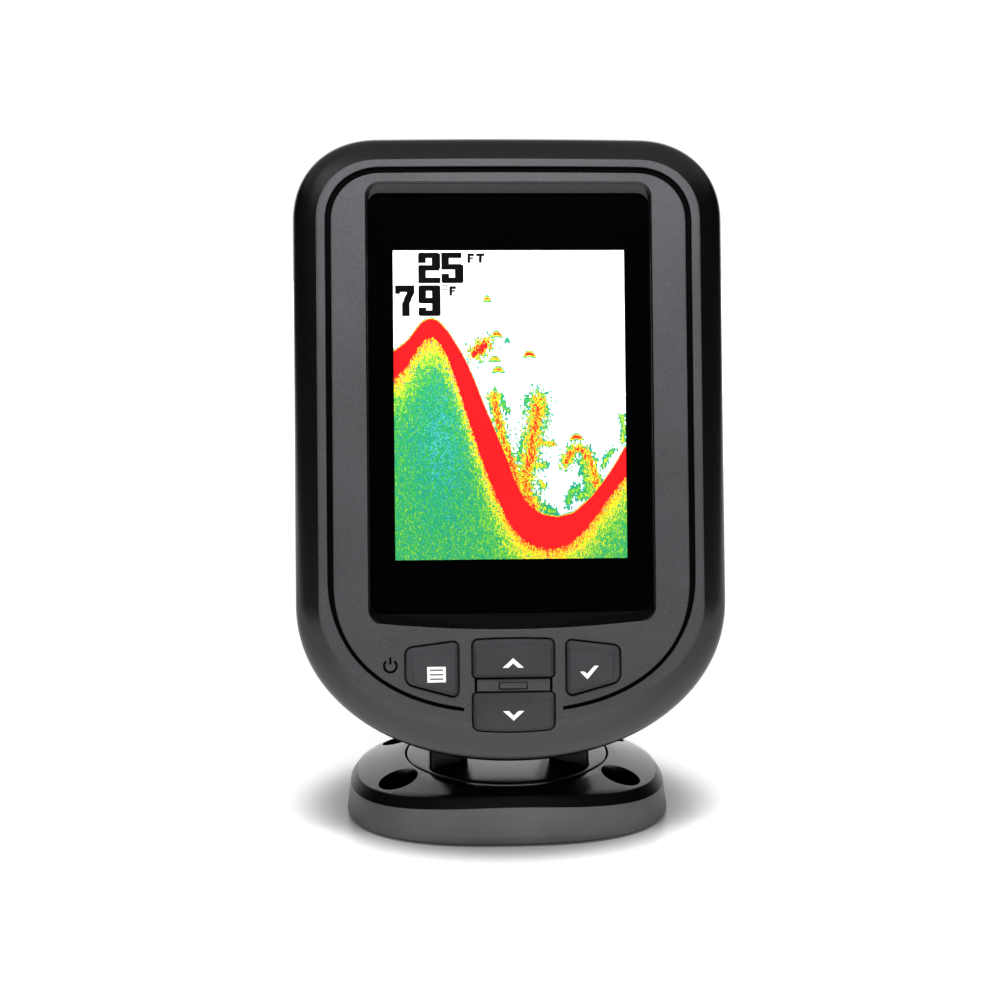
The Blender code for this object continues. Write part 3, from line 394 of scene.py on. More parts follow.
def grow(points, amount):
    result = []
    count = len(points)
    for i in range(count):
        p = Vector(points[i])
        e0 = (p - Vector(points[i - 1])).normalized()
        e1 = (Vector(points[(i + 1) % count]) - p).normalized()
        n0, n1 = Vector((e0.y, -e0.x)), Vector((e1.y, -e1.x))
        n = (n0 + n1).normalized()
        result.append(tuple(p + n * (amount / max(0.3, n.dot(n0)))))
    return result


def turned(bm, profile, centre=(0, 0), segments=64, axis='Z', caps=True):
    rings = []
    for r, h in profile:
        ring = circle(0, 0, r, segments)
        if axis == 'Z':
            rings.append([(centre[0] + a, centre[1] + b, h) for a, b in ring])
        else:
            rings.append([(h, centre[0] + a, centre[1] + b) for a, b in ring])
    loft(bm, rings, caps)


def head_outline(a, top, bottom, ca, cb, cn, start, bn, bow, flat=10, corner=34, side=18, low=70):
    half = []
    xc = a - ca
    for i in range(flat):
        x = xc * i / flat
        half.append((x, top + bow * (1 - (x / xc) ** 2)))
    for i in range(corner):
        t = math.pi / 2 * (1 - i / corner)
        half.append((xc + ca * math.cos(t) ** (2 / cn), top - cb + cb * math.sin(t) ** (2 / cn)))
    for i in range(side):
        half.append((a, top - cb + (start - top + cb) * i / side))
    for i in range(low + 1):
        t = math.pi / 2 * i / low
        half.append((a * max(0.0, math.cos(t)) ** (2 / bn) if i < low else 0.0,
                     start - (start - bottom) * math.sin(t) ** (2 / bn)))
    return half + [(-x, y) for x, y in reversed(half[1:-1])]


def step(base, side, top, bottom):
    a, t, b, ca, cb, cn, start, bn, bow = base
    return head_outline(a - side, t - top, b + bottom, ca - side * 0.93, cb - top * 0.93, cn, start, bn, bow)


# ------------------------------------------------------------------------ keys
# outer polygon, corner radii, and how far the flat top is set in at each edge
KEYS = {
    "menu_key": ([(-24.4, -63.5), (-12.65, -66.75), (-12.65, -54.15), (-24.4, -55.6)], [2.0, 1.1, 1.1, 1.6],
                 [(-22.7, -63.15), (-13.25, -65.8), (-13.25, -56.05), (-22.7, -57.3)]),
    "enter_key": ([(12.25, -66.8), (24.3, -63.5), (24.3, -55.6), (12.25, -54.1)], [1.1, 2.0, 1.6, 1.1],
                  [(12.85, -65.85), (22.6, -63.15), (22.6, -57.3), (12.85, -56.0)]),
    "up_key": ([(-9.2, -62.4), (9.2, -62.4), (9.2, -53.9), (0.0, -53.5), (-9.2, -53.9)], [0.9, 0.9, 1.2, 160.0, 1.2],
               [(-8.55, -61.85), (8.55, -61.85), (8.55, -56.1), (0.0, -55.75), (-8.55, -56.1)]),
    "down_key": ([(-9.2, -74.2), (0.0, -75.0), (9.2, -74.2), (9.2, -65.9), (-9.2, -65.9)], [1.4, 80.0, 1.4, 0.9, 0.9],
                 [(-8.55, -73.6), (0.0, -74.35), (8.55, -73.6), (8.55, -67.9), (-8.55, -67.9)]),
}


def key_outline(name, offset):
    points, radii, _ = KEYS[name]
    return rounded(grow(points, offset), [max(0.25, r + offset) if r < 10 else r for r in radii], 8)


def make_keys():
    for name, (points, radii, top) in KEYS.items():
        small = [max(0.5, r - 0.55) if r < 10 else r for r in radii]
        bm = bmesh.new()

        def between(t):
            poly = [(a[0] + (b[0] - a[0]) * t, a[1] + (b[1] - a[1]) * t) for a, b in zip(grow(points, -0.22), top)]
            rr = [r + (s - r) * t for r, s in zip(radii, small)]
            return rounded(poly, [max(0.4, r - 0.2) for r in rr], 8)
        rings = [level(between(1.0), SKIN + 0.80), level(between(0.97), SKIN + 0.86), level(between(0.92), SKIN + 0.90), level(between(0.86), SKIN + 0.83), level(between(0.78), SKIN + 0.66),
                 level(between(0.5), SKIN + 0.53), level(between(0.12), SKIN + 0.45), level(between(0.0), SKIN + 0.36),
                 level(key_outline(name, -0.10), SKIN + 0.22), level(key_outline(name, -0.02), SKIN + 0.02),
                 level(key_outline(name, 0.0), SKIN - 0.2), level(key_outline(name, 0.0), 1.2)]
        if name == "down_key":
            wide = rect(-10.3, 10.3, -71.4, -64.8, 0.8, 3)
            loft(bm, rings + [level(key_outline(name, 0.0), 0.9)])
            body = raw(bm)
            bm = bmesh.new()
            loft(bm, [level(wide, -0.2), level(wide, 1.1)])
            bm = take(carve(body, [raw(bm)], 'UNION'))
        else:
            wide = key_outline(name, 1.1)
            if name == "up_key":
                wide = [(x, min(y, -53.3)) for x, y in wide]
            loft(bm, rings + [level(wide, 1.2), level(wide, -0.2)])
        put(name + "_cap", bm, ["key"], name, [name], smooth=24)


def flat_mark(name, polys, look, body, w0, w1):
    """Raised print: each polygon becomes a thin pad with a rounded upper edge."""
    bm = bmesh.new()
    for poly in polys:
        area = sum(poly[i - 1][0] * poly[i][1] - poly[i][0] * poly[i - 1][1] for i in range(len(poly)))
        if area < 0:
            poly = list(reversed(poly))
        loft(bm, [level(poly, w0), level(poly, w1 - 0.015), level(grow(poly, -0.03), w1)])
    return put(name, bm, [look], body, smooth=40)


def make_icons():
    top = SKIN + 0.80
    x0, x1, y0, y1 = -19.62, -15.4, -63.25, -59.7
    # the sheet with three grey lines
    flat_mark("menu_icon", [rect(x0, x1, y0, y1, 0.12, 2)], "icon", "menu_key", top - 0.02, top + 0.03)
    lines = [rect(x0 + 0.6, x1 - 0.6, y1 + (y0 - y1) * f - 0.17, y1 + (y0 - y1) * f + 0.17, 0.05, 2) for f in (0.215, 0.50, 0.785)]
    flat_mark("menu_lines", lines, "grey_mark", "menu_key", top + 0.01, top + 0.05)
    up = [(-2.5, -60.15), (-1.15, -60.15), (-0.08, -59.12), (1.0, -60.15), (2.35, -60.15), (-0.08, -57.95)]
    flat_mark("up_icon", [up], "icon", "up_key", top - 0.02, top + 0.03)
    down = [(-2.5, -69.95), (-0.08, -72.15), (2.35, -69.95), (1.0, -69.95), (-0.08, -70.98), (-1.15, -69.95)]
    flat_mark("down_icon", [down], "icon", "down_key", top - 0.02, top + 0.03)
    check = [(15.1, -61.25), (16.8, -63.0), (19.45, -59.95), (18.4, -59.95), (16.72, -61.75), (16.05, -61.2)]
    flat_mark("enter_icon", [check], "icon", "enter_key", top - 0.02, top + 0.03)
    # power mark printed on the face
    ring = []
    cx, cy, r = -27.95, -59.45, 1.42
    n = 26
    a0, a1 = math.radians(130), math.radians(410)
    outer = [(cx + (r + 0.28) * math.cos(a0 + (a1 - a0) * i / n), cy + (r + 0.28) * math.sin(a0 + (a1 - a0) * i / n)) for i in range(n + 1)]
    inner = [(cx + (r - 0.28) * math.cos(a0 + (a1 - a0) * i / n), cy + (r - 0.28) * math.sin(a0 + (a1 - a0) * i / n)) for i in range(n + 1)]
    polys = []
    for i in range(n):
        polys.append([outer[i], outer[i + 1], inner[i + 1], inner[i]])
    bm = bmesh.new()
    rows = []
    for ring_pts, w in ((outer, SKIN - 0.02), (outer, SKIN + 0.015), (inner, SKIN + 0.015), (inner, SKIN - 0.02)):
        rows.append([bm.verts.new((x, y, w)) for x, y in ring_pts])
    for a, b in zip(rows, rows[1:] + rows[:1]):
        for i in range(n):
            bm.faces.new((a[i], a[i + 1], b[i + 1], b[i]))
    bm.faces.new([row[0] for row in rows])
    bm.faces.new([row[-1] for row in reversed(rows)])
    bar = rect(cx - 0.27, cx + 0.27, cy + 0.35, cy + 1.95, 0.08, 2)
    loft(bm, [level(bar, SKIN - 0.02), level(bar, SKIN + 0.015)])
    put("power_mark", bm, ["gap_shade_and_print"], "head", smooth=40)


# ----------------------------------------------------------------------- bezel
def window(x0, x1, y0, y1, radius, steps, bow):
    """A rounded rectangle whose lower edge sags in the middle and rises at the ends."""
    points = rect(x0, x1, y0, y1, radius, steps)
    first = steps + 1
    a, b = points[first - 1], points[first]
    between = [(a[0] + (b[0] - a[0]) * i / 12, y0) for i in range(1, 12)]
    points = points[:first] + between + points[first:]
    return [(x, y + bow * (3.0 * (x / 32.0) ** 2 - 1.0) if y < y0 + radius + 0.01 else y) for x, y in points]


def make_bezel():
    flank = [(0.75, 0.75, 0.75, SEAM_FRONT), (0.5, 0.5, 0.5, SEAM_FRONT + 0.25), (0.28, 0.28, 0.28, -9.0),
             (0.08, 0.08, 0.08, -4.5), (0.0, 0.0, 0.0, -2.0), (0.0, 0.0, 0.0, -1.2), (0.10, 0.10, 0.10, -0.45),
             (0.38, 0.37, 0.36, 0.28), (0.85, 0.83, 0.84, 0.93), (1.5, 1.45, 1.5, 1.48), (2.3, 2.2, 2.45, 1.92),
             (3.2, 3.1, 3.75, 2.26), (4.0, 3.9, 5.15, 2.5), (4.7, 4.6, 6.7, 2.71), (5.3, 5.2, 8.3, 2.88),
             (5.55, 5.48, 9.1, 2.95), (5.66, 5.6, 9.4, 3.0), (5.76, 5.7, 9.6, 3.09), (5.88, 5.82, 9.74, 3.17),
             (6.05, 5.98, 9.9, SKIN)]
    rings = [level(step(OUT_RIM, s, t, b), w) for s, t, b, w in flank]
    groove = [(-0.95, SKIN), (-0.80, SKIN - 0.03), (-0.70, SKIN - 0.12), (-0.66, SKIN - 0.3), (-0.62, SKIN - 0.9),
              (0.62, SKIN - 0.9), (0.66, SKIN - 0.35), (0.72, SKIN - 0.16), (0.86, SKIN - 0.05), (1.08, SKIN)]

    def ease(t):
        t = min(1.0, max(0.0, t))
        return t * t * (3 - 2 * t)
    for offset, w in groove:
        points = step(OUT_GROOVE, offset, offset, offset)
        if offset < 0:
            tight = step(OUT_GROOVE, offset + 0.55, offset + 0.55, offset + 0.55)
            points = [(p[0] + (q[0] - p[0]) * ease((-38.0 - p[1]) / 18.0), p[1] + (q[1] - p[1]) * ease((-38.0 - p[1]) / 18.0))
                      for p, q in zip(points, tight)]
        rings.append([(x, y, SKIN + (w - SKIN) * (ease((abs(x) - 11.7) / 0.4) if y < 0 else 1.0)) for x, y in points])
    inner = [(step(OUT_RIM, 8.4, 8.0, 9.6), SKIN_IN), (step(OUT_RIM, 5.4, 5.2, 5.6), 0.2),
             (step(OUT_RIM, 2.4, 2.3, 2.3), -3.0), (step(OUT_RIM, 2.5, 2.4, 2.4), SEAM_FRONT)]
    chain = list(reversed(rings)) + [level(p, w) for p, w in reversed(inner)]
    bm = bmesh.new()
    loft(bm, chain)
    bezel = raw(bm)
    bm = bmesh.new()
    for x, y in HOUSING_SCREWS:
        for sign in (-1, 1):
            loft(bm, [level(circle(sign * x, y, 3.2, 24), SEAM_FRONT + 0.1), level(circle(sign * x, y, 3.2, 24), 2.0)])
    posts = raw(bm)
    bm = bmesh.new()
    bar = (-3.15, 3.0, -64.9, -63.6)
    loft(bm, [level(rect(bar[0], bar[1], bar[2], bar[3], 0.35, 5), 2.4), level(rect(bar[0], bar[1], bar[2], bar[3], 0.35, 5), SKIN + 0.24),
              level(rect(bar[0] + 0.1, bar[1] - 0.1, bar[2] + 0.1, bar[3] - 0.1, 0.27, 5), SKIN + 0.37),
              level(rect(bar[0] + 0.28, bar[1] - 0.28, bar[2] + 0.28, bar[3] - 0.28, 0.18, 5), SKIN + 0.4)])
    bar_solid = raw(bm)
    bm = bmesh.new()
    loft(bm, [level(rect(bar[0] - 0.26, bar[1] + 0.22, bar[2] - 0.24, bar[3] + 0.12, 0.4, 5), SKIN - 0.42),
              level(rect(bar[0] - 0.26, bar[1] + 0.22, bar[2] - 0.24, bar[3] + 0.12, 0.4, 5), SKIN + 2.0)])
    carve(bezel, [raw(bm)])
    carve(bezel, [posts, bar_solid], 'UNION')
    cutters = []
    # window: sloping walls top and bottom, a rounded upper edge all round
    bm = bmesh.new()
    fronts = [(0.0, SKIN - 0.36), (0.04, SKIN - 0.22), (0.13, SKIN - 0.10), (0.28, SKIN - 0.02), (0.5, SKIN + 0.0005), (0.9, SKIN + 0.8)]
    base = (-32.4, 32.4, -50.75, 50.45)
    deep = window(-32.25, 32.25, -47.5, 48.4, 2.6, 8, 0.0)
    rings = [level(deep, 0.4), level(deep, SKIN_IN - 0.1)]
    lip = window(base[0], base[1], base[2], base[3], 3.0, 8, 0.6)
    for k, inward in ((0.25, 0.10), (0.5, 0.12), (0.75, 0.08)):
        rings.append([(p[0] + (q[0] - p[0]) * k, p[1] + (q[1] - p[1]) * k, SKIN_IN - 0.1 + (fronts[0][1] - SKIN_IN + 0.1) * k - inward)
                      for p, q in zip(deep, lip)])
    for grow_by, w in fronts:
        rings.append(level(window(base[0] - grow_by, base[1] + grow_by, base[2] - grow_by, base[3] + grow_by, 3.0 + grow_by, 8, 0.6), w))
    loft(bm, rings)
    cutters.append(raw(bm))
    bm = bmesh.new()
    for name in KEYS:
        edge = [(0.36, -1.5), (0.36, SKIN - 0.22), (0.40, SKIN - 0.12), (0.48, SKIN - 0.04), (0.62, SKIN + 0.001), (0.62, SKIN + 2.0)]
        if name in ("up_key", "down_key"):
            edge = [(0.36, -1.5), (0.36, SKIN - 0.15), (0.40, SKIN - 0.05), (0.47, SKIN + 0.001), (0.47, SKIN + 2.0)]
        loft(bm, [level(key_outline(name, g), w) for g, w in edge])
        cutters.append(raw(bm))
        bm = bmesh.new()
    # clear side channels of the panel between the arrow keys
    for sign in (-1, 1):
        loft(bm, [level(rect(*sorted((sign * 8.28, sign * 8.88)), -66.2, -62.0, 0.15, 3), 2.2),
                  level(rect(*sorted((sign * 8.28, sign * 8.88)), -66.2, -62.0, 0.15, 3), 5.0)])
    cutters.append(raw(bm))
    bm = bmesh.new()
    for x, y in HOUSING_SCREWS:
        for sign in (-1, 1):
            loft(bm, [level(circle(sign * x, y, 1.65, 20), SEAM_FRONT - 3.0), level(circle(sign * x, y, 1.65, 20), -4.0)])
    cutters.append(raw(bm))
    carve(bezel, cutters)
    mesh_bm = take(bezel)
    limit = [(x, y) for x, y in step(OUT_RIM, 5.6, 5.52, 9.25)]
    poly_y = sorted(limit, key=lambda p: math.atan2(p[1] + 10, p[0]))
    angles = np.array([math.atan2(p[1] + 10, p[0]) for p in poly_y])
    radii = np.array([math.hypot(p[0], p[1] + 10) for p in poly_y])

    def look(centre, normal):
        if normal.z > 0.9995 and centre.z > SKIN - 0.01:
            return 2
        r = math.hypot(centre.x, centre.y + 10)
        a = math.atan2(centre.y + 10, centre.x)
        outside = r > np.interp(a, angles, radii, period=2 * math.pi)
        sag = 0.6 * (3.0 * (centre.x / 32.0) ** 2 - 1.0)
        framed = abs(centre.x) < 32.95 and -50.88 + sag < centre.y < 51.0
        if centre.z < 2.9 or normal.z < 0.35:
            if framed and centre.z > 0.3:
                # the low part of the window's lower wall takes the darker sill copy, painted shade; the rest of the
                # window wall the gloss
                return 3 if centre.y < -46.5 and centre.z < SKIN - 0.3 else 1
            # groove, key-gap and channel walls take the matt black painted shade, the rest of the flank the satin
            return 4 if not outside and centre.z > 0.3 else 0
        if outside:
            return 0
        return 1 if framed else 2
    put("face_bezel", mesh_bm, ["satin", "wall", "texture", "sill_shade", "gap_shade_and_print"], "head", ["front_bezel"], smooth=28, look_of=look)


# ------------------------------------------------------------------------ lens
def make_lens():
    bm = bmesh.new()
    steps = [(0.10, -0.3), (0.0, -0.2), (0.0, 0.48), (0.03, 0.55), (0.12, 0.6)]
    loft(bm, [level(rect(-34.6 + i, 34.6 - i, -50.4 + i, 51.4 - i, 3.0 - i, 8), w) for i, w in steps])
    put("cover_lens", bm, ["lens"], "head", ["screen_lens"], smooth=30)


def paint_cells(nx, ny):
    """An echo chart: a bottom line, weed, a few fish and two readouts."""
    rng = np.random.default_rng(11)
    u = (np.arange(nx) + 0.5) / nx
    s = (np.arange(ny) + 0.5) / ny
    U, S = np.meshgrid(u, s)
    top_u = [0, .06, .12, .155, .19, .24, .30, .34, .38, .43, .48, .52, .57, .63, .70, .77, .84, .90, .96, 1.0]
    top_s = [.33, .295, .235, .223, .228, .27, .345, .41, .49, .58, .67, .755, .825, .858, .868, .855, .81, .755, .69, .635]
    low_u = [0, .05, .10, .14, .17, .21, .25, .30, .35, .40, .45, .50, .55, .61, .68, .75, .82, .88, .94, 1.0]
    low_s = [.415, .385, .32, .288, .28, .31, .38, .50, .62, .73, .82, .895, .94, .963, .97, .955, .91, .85, .79, .735]
    top = np.interp(u, top_u, top_s)
    low = np.interp(u, low_u, low_s)
    kernel = np.ones(7) / 7
    top = np.convolve(np.pad(top, 3, mode='edge'), kernel, mode='valid')
    low = np.convolve(np.pad(low, 3, mode='edge'), kernel, mode='valid')
    T, B = np.tile(top, (ny, 1)), np.tile(low, (ny, 1))
    grain = rng.random((ny, nx))
    streak = rng.random((ny // 3 + 1, nx)).repeat(3, axis=0)[:ny]
    blot = rng.random((ny // 2 + 1, nx // 2 + 1)).repeat(2, axis=0).repeat(2, axis=1)[:ny, :nx]
    hit = 0.45 * grain + 0.35 * streak + 0.2 * blot                   # about 0.5
    power = np.zeros((ny, nx))
    # soft weed and fish, as strokes with a strong middle
    strokes = [
        ([(.43, .47), (.44, .52), (.455, .58), (.485, .645), (.51, .70), (.535, .77)], .022, .80),
        ([(.455, .47), (.475, .51), (.49, .52)], .012, .45),
        ([(.62, .49), (.615, .54), (.60, .60), (.585, .67), (.56, .74), (.565, .80), (.60, .835)], .038, .78),
        ([(.57, .49), (.60, .48), (.65, .50), (.66, .53)], .014, .45),
        ([(.565, .61), (.545, .64), (.535, .68)], .014, .42),
        ([(.60, .615), (.64, .625), (.68, .628)], .014, .72),
        ([(.55, .68), (.60, .70), (.64, .70)], .018, .62),
        ([(.735, .69), (.765, .655), (.80, .645), (.835, .67), (.855, .72), (.865, .77)], .024, .78),
        ([(.81, .68), (.825, .73), (.845, .79), (.80, .80)], .022, .50),
        ([(.745, .82), (.76, .79), (.79, .77)], .018, .45),
        ([(.985, .54), (.99, .58), (.985, .62)], .012, .55),
        ([(.90, .70), (.925, .665), (.945, .65)], .012, .50),
        ([(.585, .80), (.62, .83), (.68, .85)], .020, .45),
        ([(.35, .335), (.37, .325), (.395, .305)], .026, .95),
        ([(.625, .75), (.64, .765)], .014, .62),
    ]
    W2H = PICTURE_W / PICTURE_H
    for path, width, force in strokes:
        best = np.full((ny, nx), 9.0)
        for (x0, y0), (x1, y1) in zip(path, path[1:]):
            ax, ay, bx, by = x0 * W2H, y0, x1 * W2H, y1
            px, py = U * W2H, S
            dx, dy = bx - ax, by - ay
            k = np.clip(((px - ax) * dx + (py - ay) * dy) / (dx * dx + dy * dy), 0, 1)
            best = np.minimum(best, np.hypot(px - ax - k * dx, py - ay - k * dy))
        wobble = width * (0.55 + 0.9 * blot) * (0.7 + 0.6 * streak)
        field = force * np.clip(1.15 - best / wobble, 0, 1) ** 0.75 * (0.62 + 0.75 * hit)
        power = np.maximum(power, field)
    arches = [(.405, .150, .020, .80), (.445, .265, .028, .88), (.435, .345, .030, .72), (.45, .38, .032, .78),
              (.585, .330, .032, .98), (.785, .600, .034, .98), (.49, .285, .016, .35)]
    for cx, cy, width, force in arches:
        dx = (U - cx) / width
        curve = cy + 0.012 * dx * dx
        dist = np.abs(S - curve - 0.006) / (0.0110 * np.clip(1.15 - dx * dx, 0.02, 1))
        field = force * np.clip(1.2 - dist, 0, 1) * np.clip(1.4 - np.abs(dx), 0, 1) * (0.75 + 0.5 * hit)
        power = np.maximum(power, np.where(np.abs(dx) < 1.15, field, 0))
    # bottom: full strength in the band, then fading ground under it
    above = (T - S) / 0.012
    edge = 1.0 - above * (0.9 + 0.8 * hit)
    power = np.maximum(power, np.where(S < T, np.clip(edge, 0, 0.95) * (above < 1.5), 0))
    power = np.where((S >= T - 0.002) & (S <= B + 0.006 * (streak - 0.4)), 1.0, power)
    depth = np.clip(S - B, 0, 1)
    ground = 0.38 + 0.36 * np.exp(-depth / 0.055) + 0.06 * np.exp(-depth / 0.2) + (hit - 0.5) * 0.46
    hollow = np.exp(-(((U - .20) / .16) ** 2 + ((S - .62) / .26) ** 2))
    cold = 0.55 * grain + 0.45 * blot > (0.86 - 0.24 * hollow)
    ground = np.where(cold, 0.17 + 0.07 * blot, ground)
    ground = np.clip(ground - 0.05 * hollow, 0.13, 0.80)
    power = np.where(S > B + 0.006 * (streak - 0.4), ground, power)
    stops = np.array([0.0, 0.115, 0.135, 0.20, 0.30, 0.42, 0.52, 0.62, 0.70, 0.78, 0.84, 1.0])
    tones = np.array([(255, 255, 255), (255, 255, 255), (96, 196, 204), (30, 128, 128), (26, 138, 88), (52, 156, 66),
                      (128, 178, 40), (226, 212, 40), (240, 158, 26), (232, 78, 24), (222, 20, 24), (220, 16, 22)]) / 255.0
    rgb = np.stack([np.interp(power, stops, tones[:, i]) for i in range(3)], -1)
    # readouts, drawn in whole cells
    ink = np.zeros((ny, nx), bool)

    def bar(x0, x1, y0, y1):
        ink[y0:y1, x0:x1] = True

    def two(x, y):
        bar(x + 1, x + 21, y, y + 6), bar(x, x + 8, y + 1, y + 11), bar(x + 14, x + 23, y + 1, y + 17)
        bar(x + 1, x + 22, y + 13, y + 19), bar(x, x + 8, y + 14, y + 32), bar(x, x + 23, y + 26, y + 32)

    def five(x, y):
        bar(x, x + 21, y, y + 6), bar(x, x + 8, y, y + 18), bar(x, x + 21, y + 12, y + 18)
        bar(x + 14, x + 23, y + 13, y + 31), bar(x + 1, x + 22, y + 26, y + 32), bar(x, x + 8, y + 22, y + 31)

    def seven(x, y):
        bar(x, x + 20, y, y + 7), bar(x, x + 5, y, y + 9)
        for i in range(25):
            shift = int(round(max(0, 5 - i * 0.42)))
            bar(x + 7 + shift, x + 15 + shift, y + 7 + i, y + 8 + i)

    def nine(x, y):
        bar(x + 1, x + 22, y, y + 6), bar(x, x + 8, y + 1, y + 18), bar(x + 14, x + 23, y + 1, y + 31)
        bar(x + 1, x + 22, y + 13, y + 19), bar(x + 1, x + 22, y + 26, y + 32), bar(x, x + 8, y + 23, y + 31)

    def small_f(x, y):
        bar(x, x + 3, y, y + 10), bar(x, x + 7, y, y + 3), bar(x, x + 6, y + 4, y + 6)
    two(26, 2), five(50, 2), seven(2, 36), nine(26, 36)
    small_f(77, 3)
    bar(86, 95, 3, 6), bar(89, 92, 3, 13)
    ink[36:41, 51:56] = True
    ink[37:40, 52:55] = False
    small_f(58, 37)
    rgb[ink] = (0.0, 0.0, 0.0)
    # sRGB to linear
    return np.where(rgb <= 0.04045, rgb / 12.92, ((rgb + 0.055) / 1.055) ** 2.4)


def make_picture():
    nx, ny = 240, 320
    rgb = paint_cells(nx, ny)
    xs = np.linspace(-PICTURE_W / 2, PICTURE_W / 2, nx + 1)
    vs = np.linspace(PICTURE_H / 2, -PICTURE_H / 2, ny + 1)
    X, V = np.meshgrid(xs, vs)
    front = np.stack([X.ravel(), V.ravel(), np.full(X.size, 0.66)], 1)
    rim = []
    faces = []
    idx = np.arange((ny + 1) * (nx + 1)).reshape(ny + 1, nx + 1)
    quads = np.stack([idx[:-1, :-1], idx[1:, :-1], idx[1:, 1:], idx[:-1, 1:]], -1).reshape(-1, 4)
    # thin film: border walls and a plain back
    border = np.concatenate([idx[0, :-1], idx[:-1, -1], idx[-1, :0:-1], idx[:0:-1, 0]])
    n0 = len(front)
    back = front[border].copy()
    back[:, 2] = 0.56
    points = np.concatenate([front, back])
    side = [(int(border[i]), int(border[(i + 1) % len(border)]), n0 + (i + 1) % len(border), n0 + i) for i in range(len(border))]
    mesh = bpy.data.meshes.new("chart_picture")
    mesh.from_pydata(points.tolist(), [], quads.tolist() + side + [tuple(range(n0, n0 + len(border)))])
    layer = mesh.color_attributes.new("cells", 'FLOAT_COLOR', 'CORNER')
    colours = np.ones((len(mesh.loops), 4), np.float32) * 0.02
    colours[:, 3] = 1.0
    colours[:quads.size, :3] = rgb.reshape(-1, 3).repeat(4, axis=0)
    layer.data.foreach_set("color", colours.ravel())
    obj = bpy.data.objects.new("chart_picture", mesh)
    bpy.context.scene.collection.objects.link(obj)
    bm = bmesh.new()
    bm.from_mesh(mesh)
    bmesh.ops.recalc_face_normals(bm, faces=bm.faces)
    bm.to_mesh(mesh)
    bm.free()
    dress(obj, ["picture"], "head", smooth=30)


# ------------------------------------------------------------------------ back
def share(v):
    t = (v + 78.0) / 50.0
    k = 0.06
    t = min(1.0, max(0.0, t))
    return 0.12 + 0.88 * t


def back_ring(outline, depth):
    return [(x, y, SEAM_BACK - depth * share(y)) for x, y in outline]


def cross_cap(bm, row):
    n = len(row)
    half = n // 2
    for i in range(half):
        face = []
        for v in (row[i], row[i + 1], row[(n - i - 1) % n], row[(n - i) % n]):
            if v not in face:
                face.append(v)
        if len(face) > 2:
            bm.faces.new(face)


def screw_seat(y):
    return -17.6 if y > -30.0 else -17.4


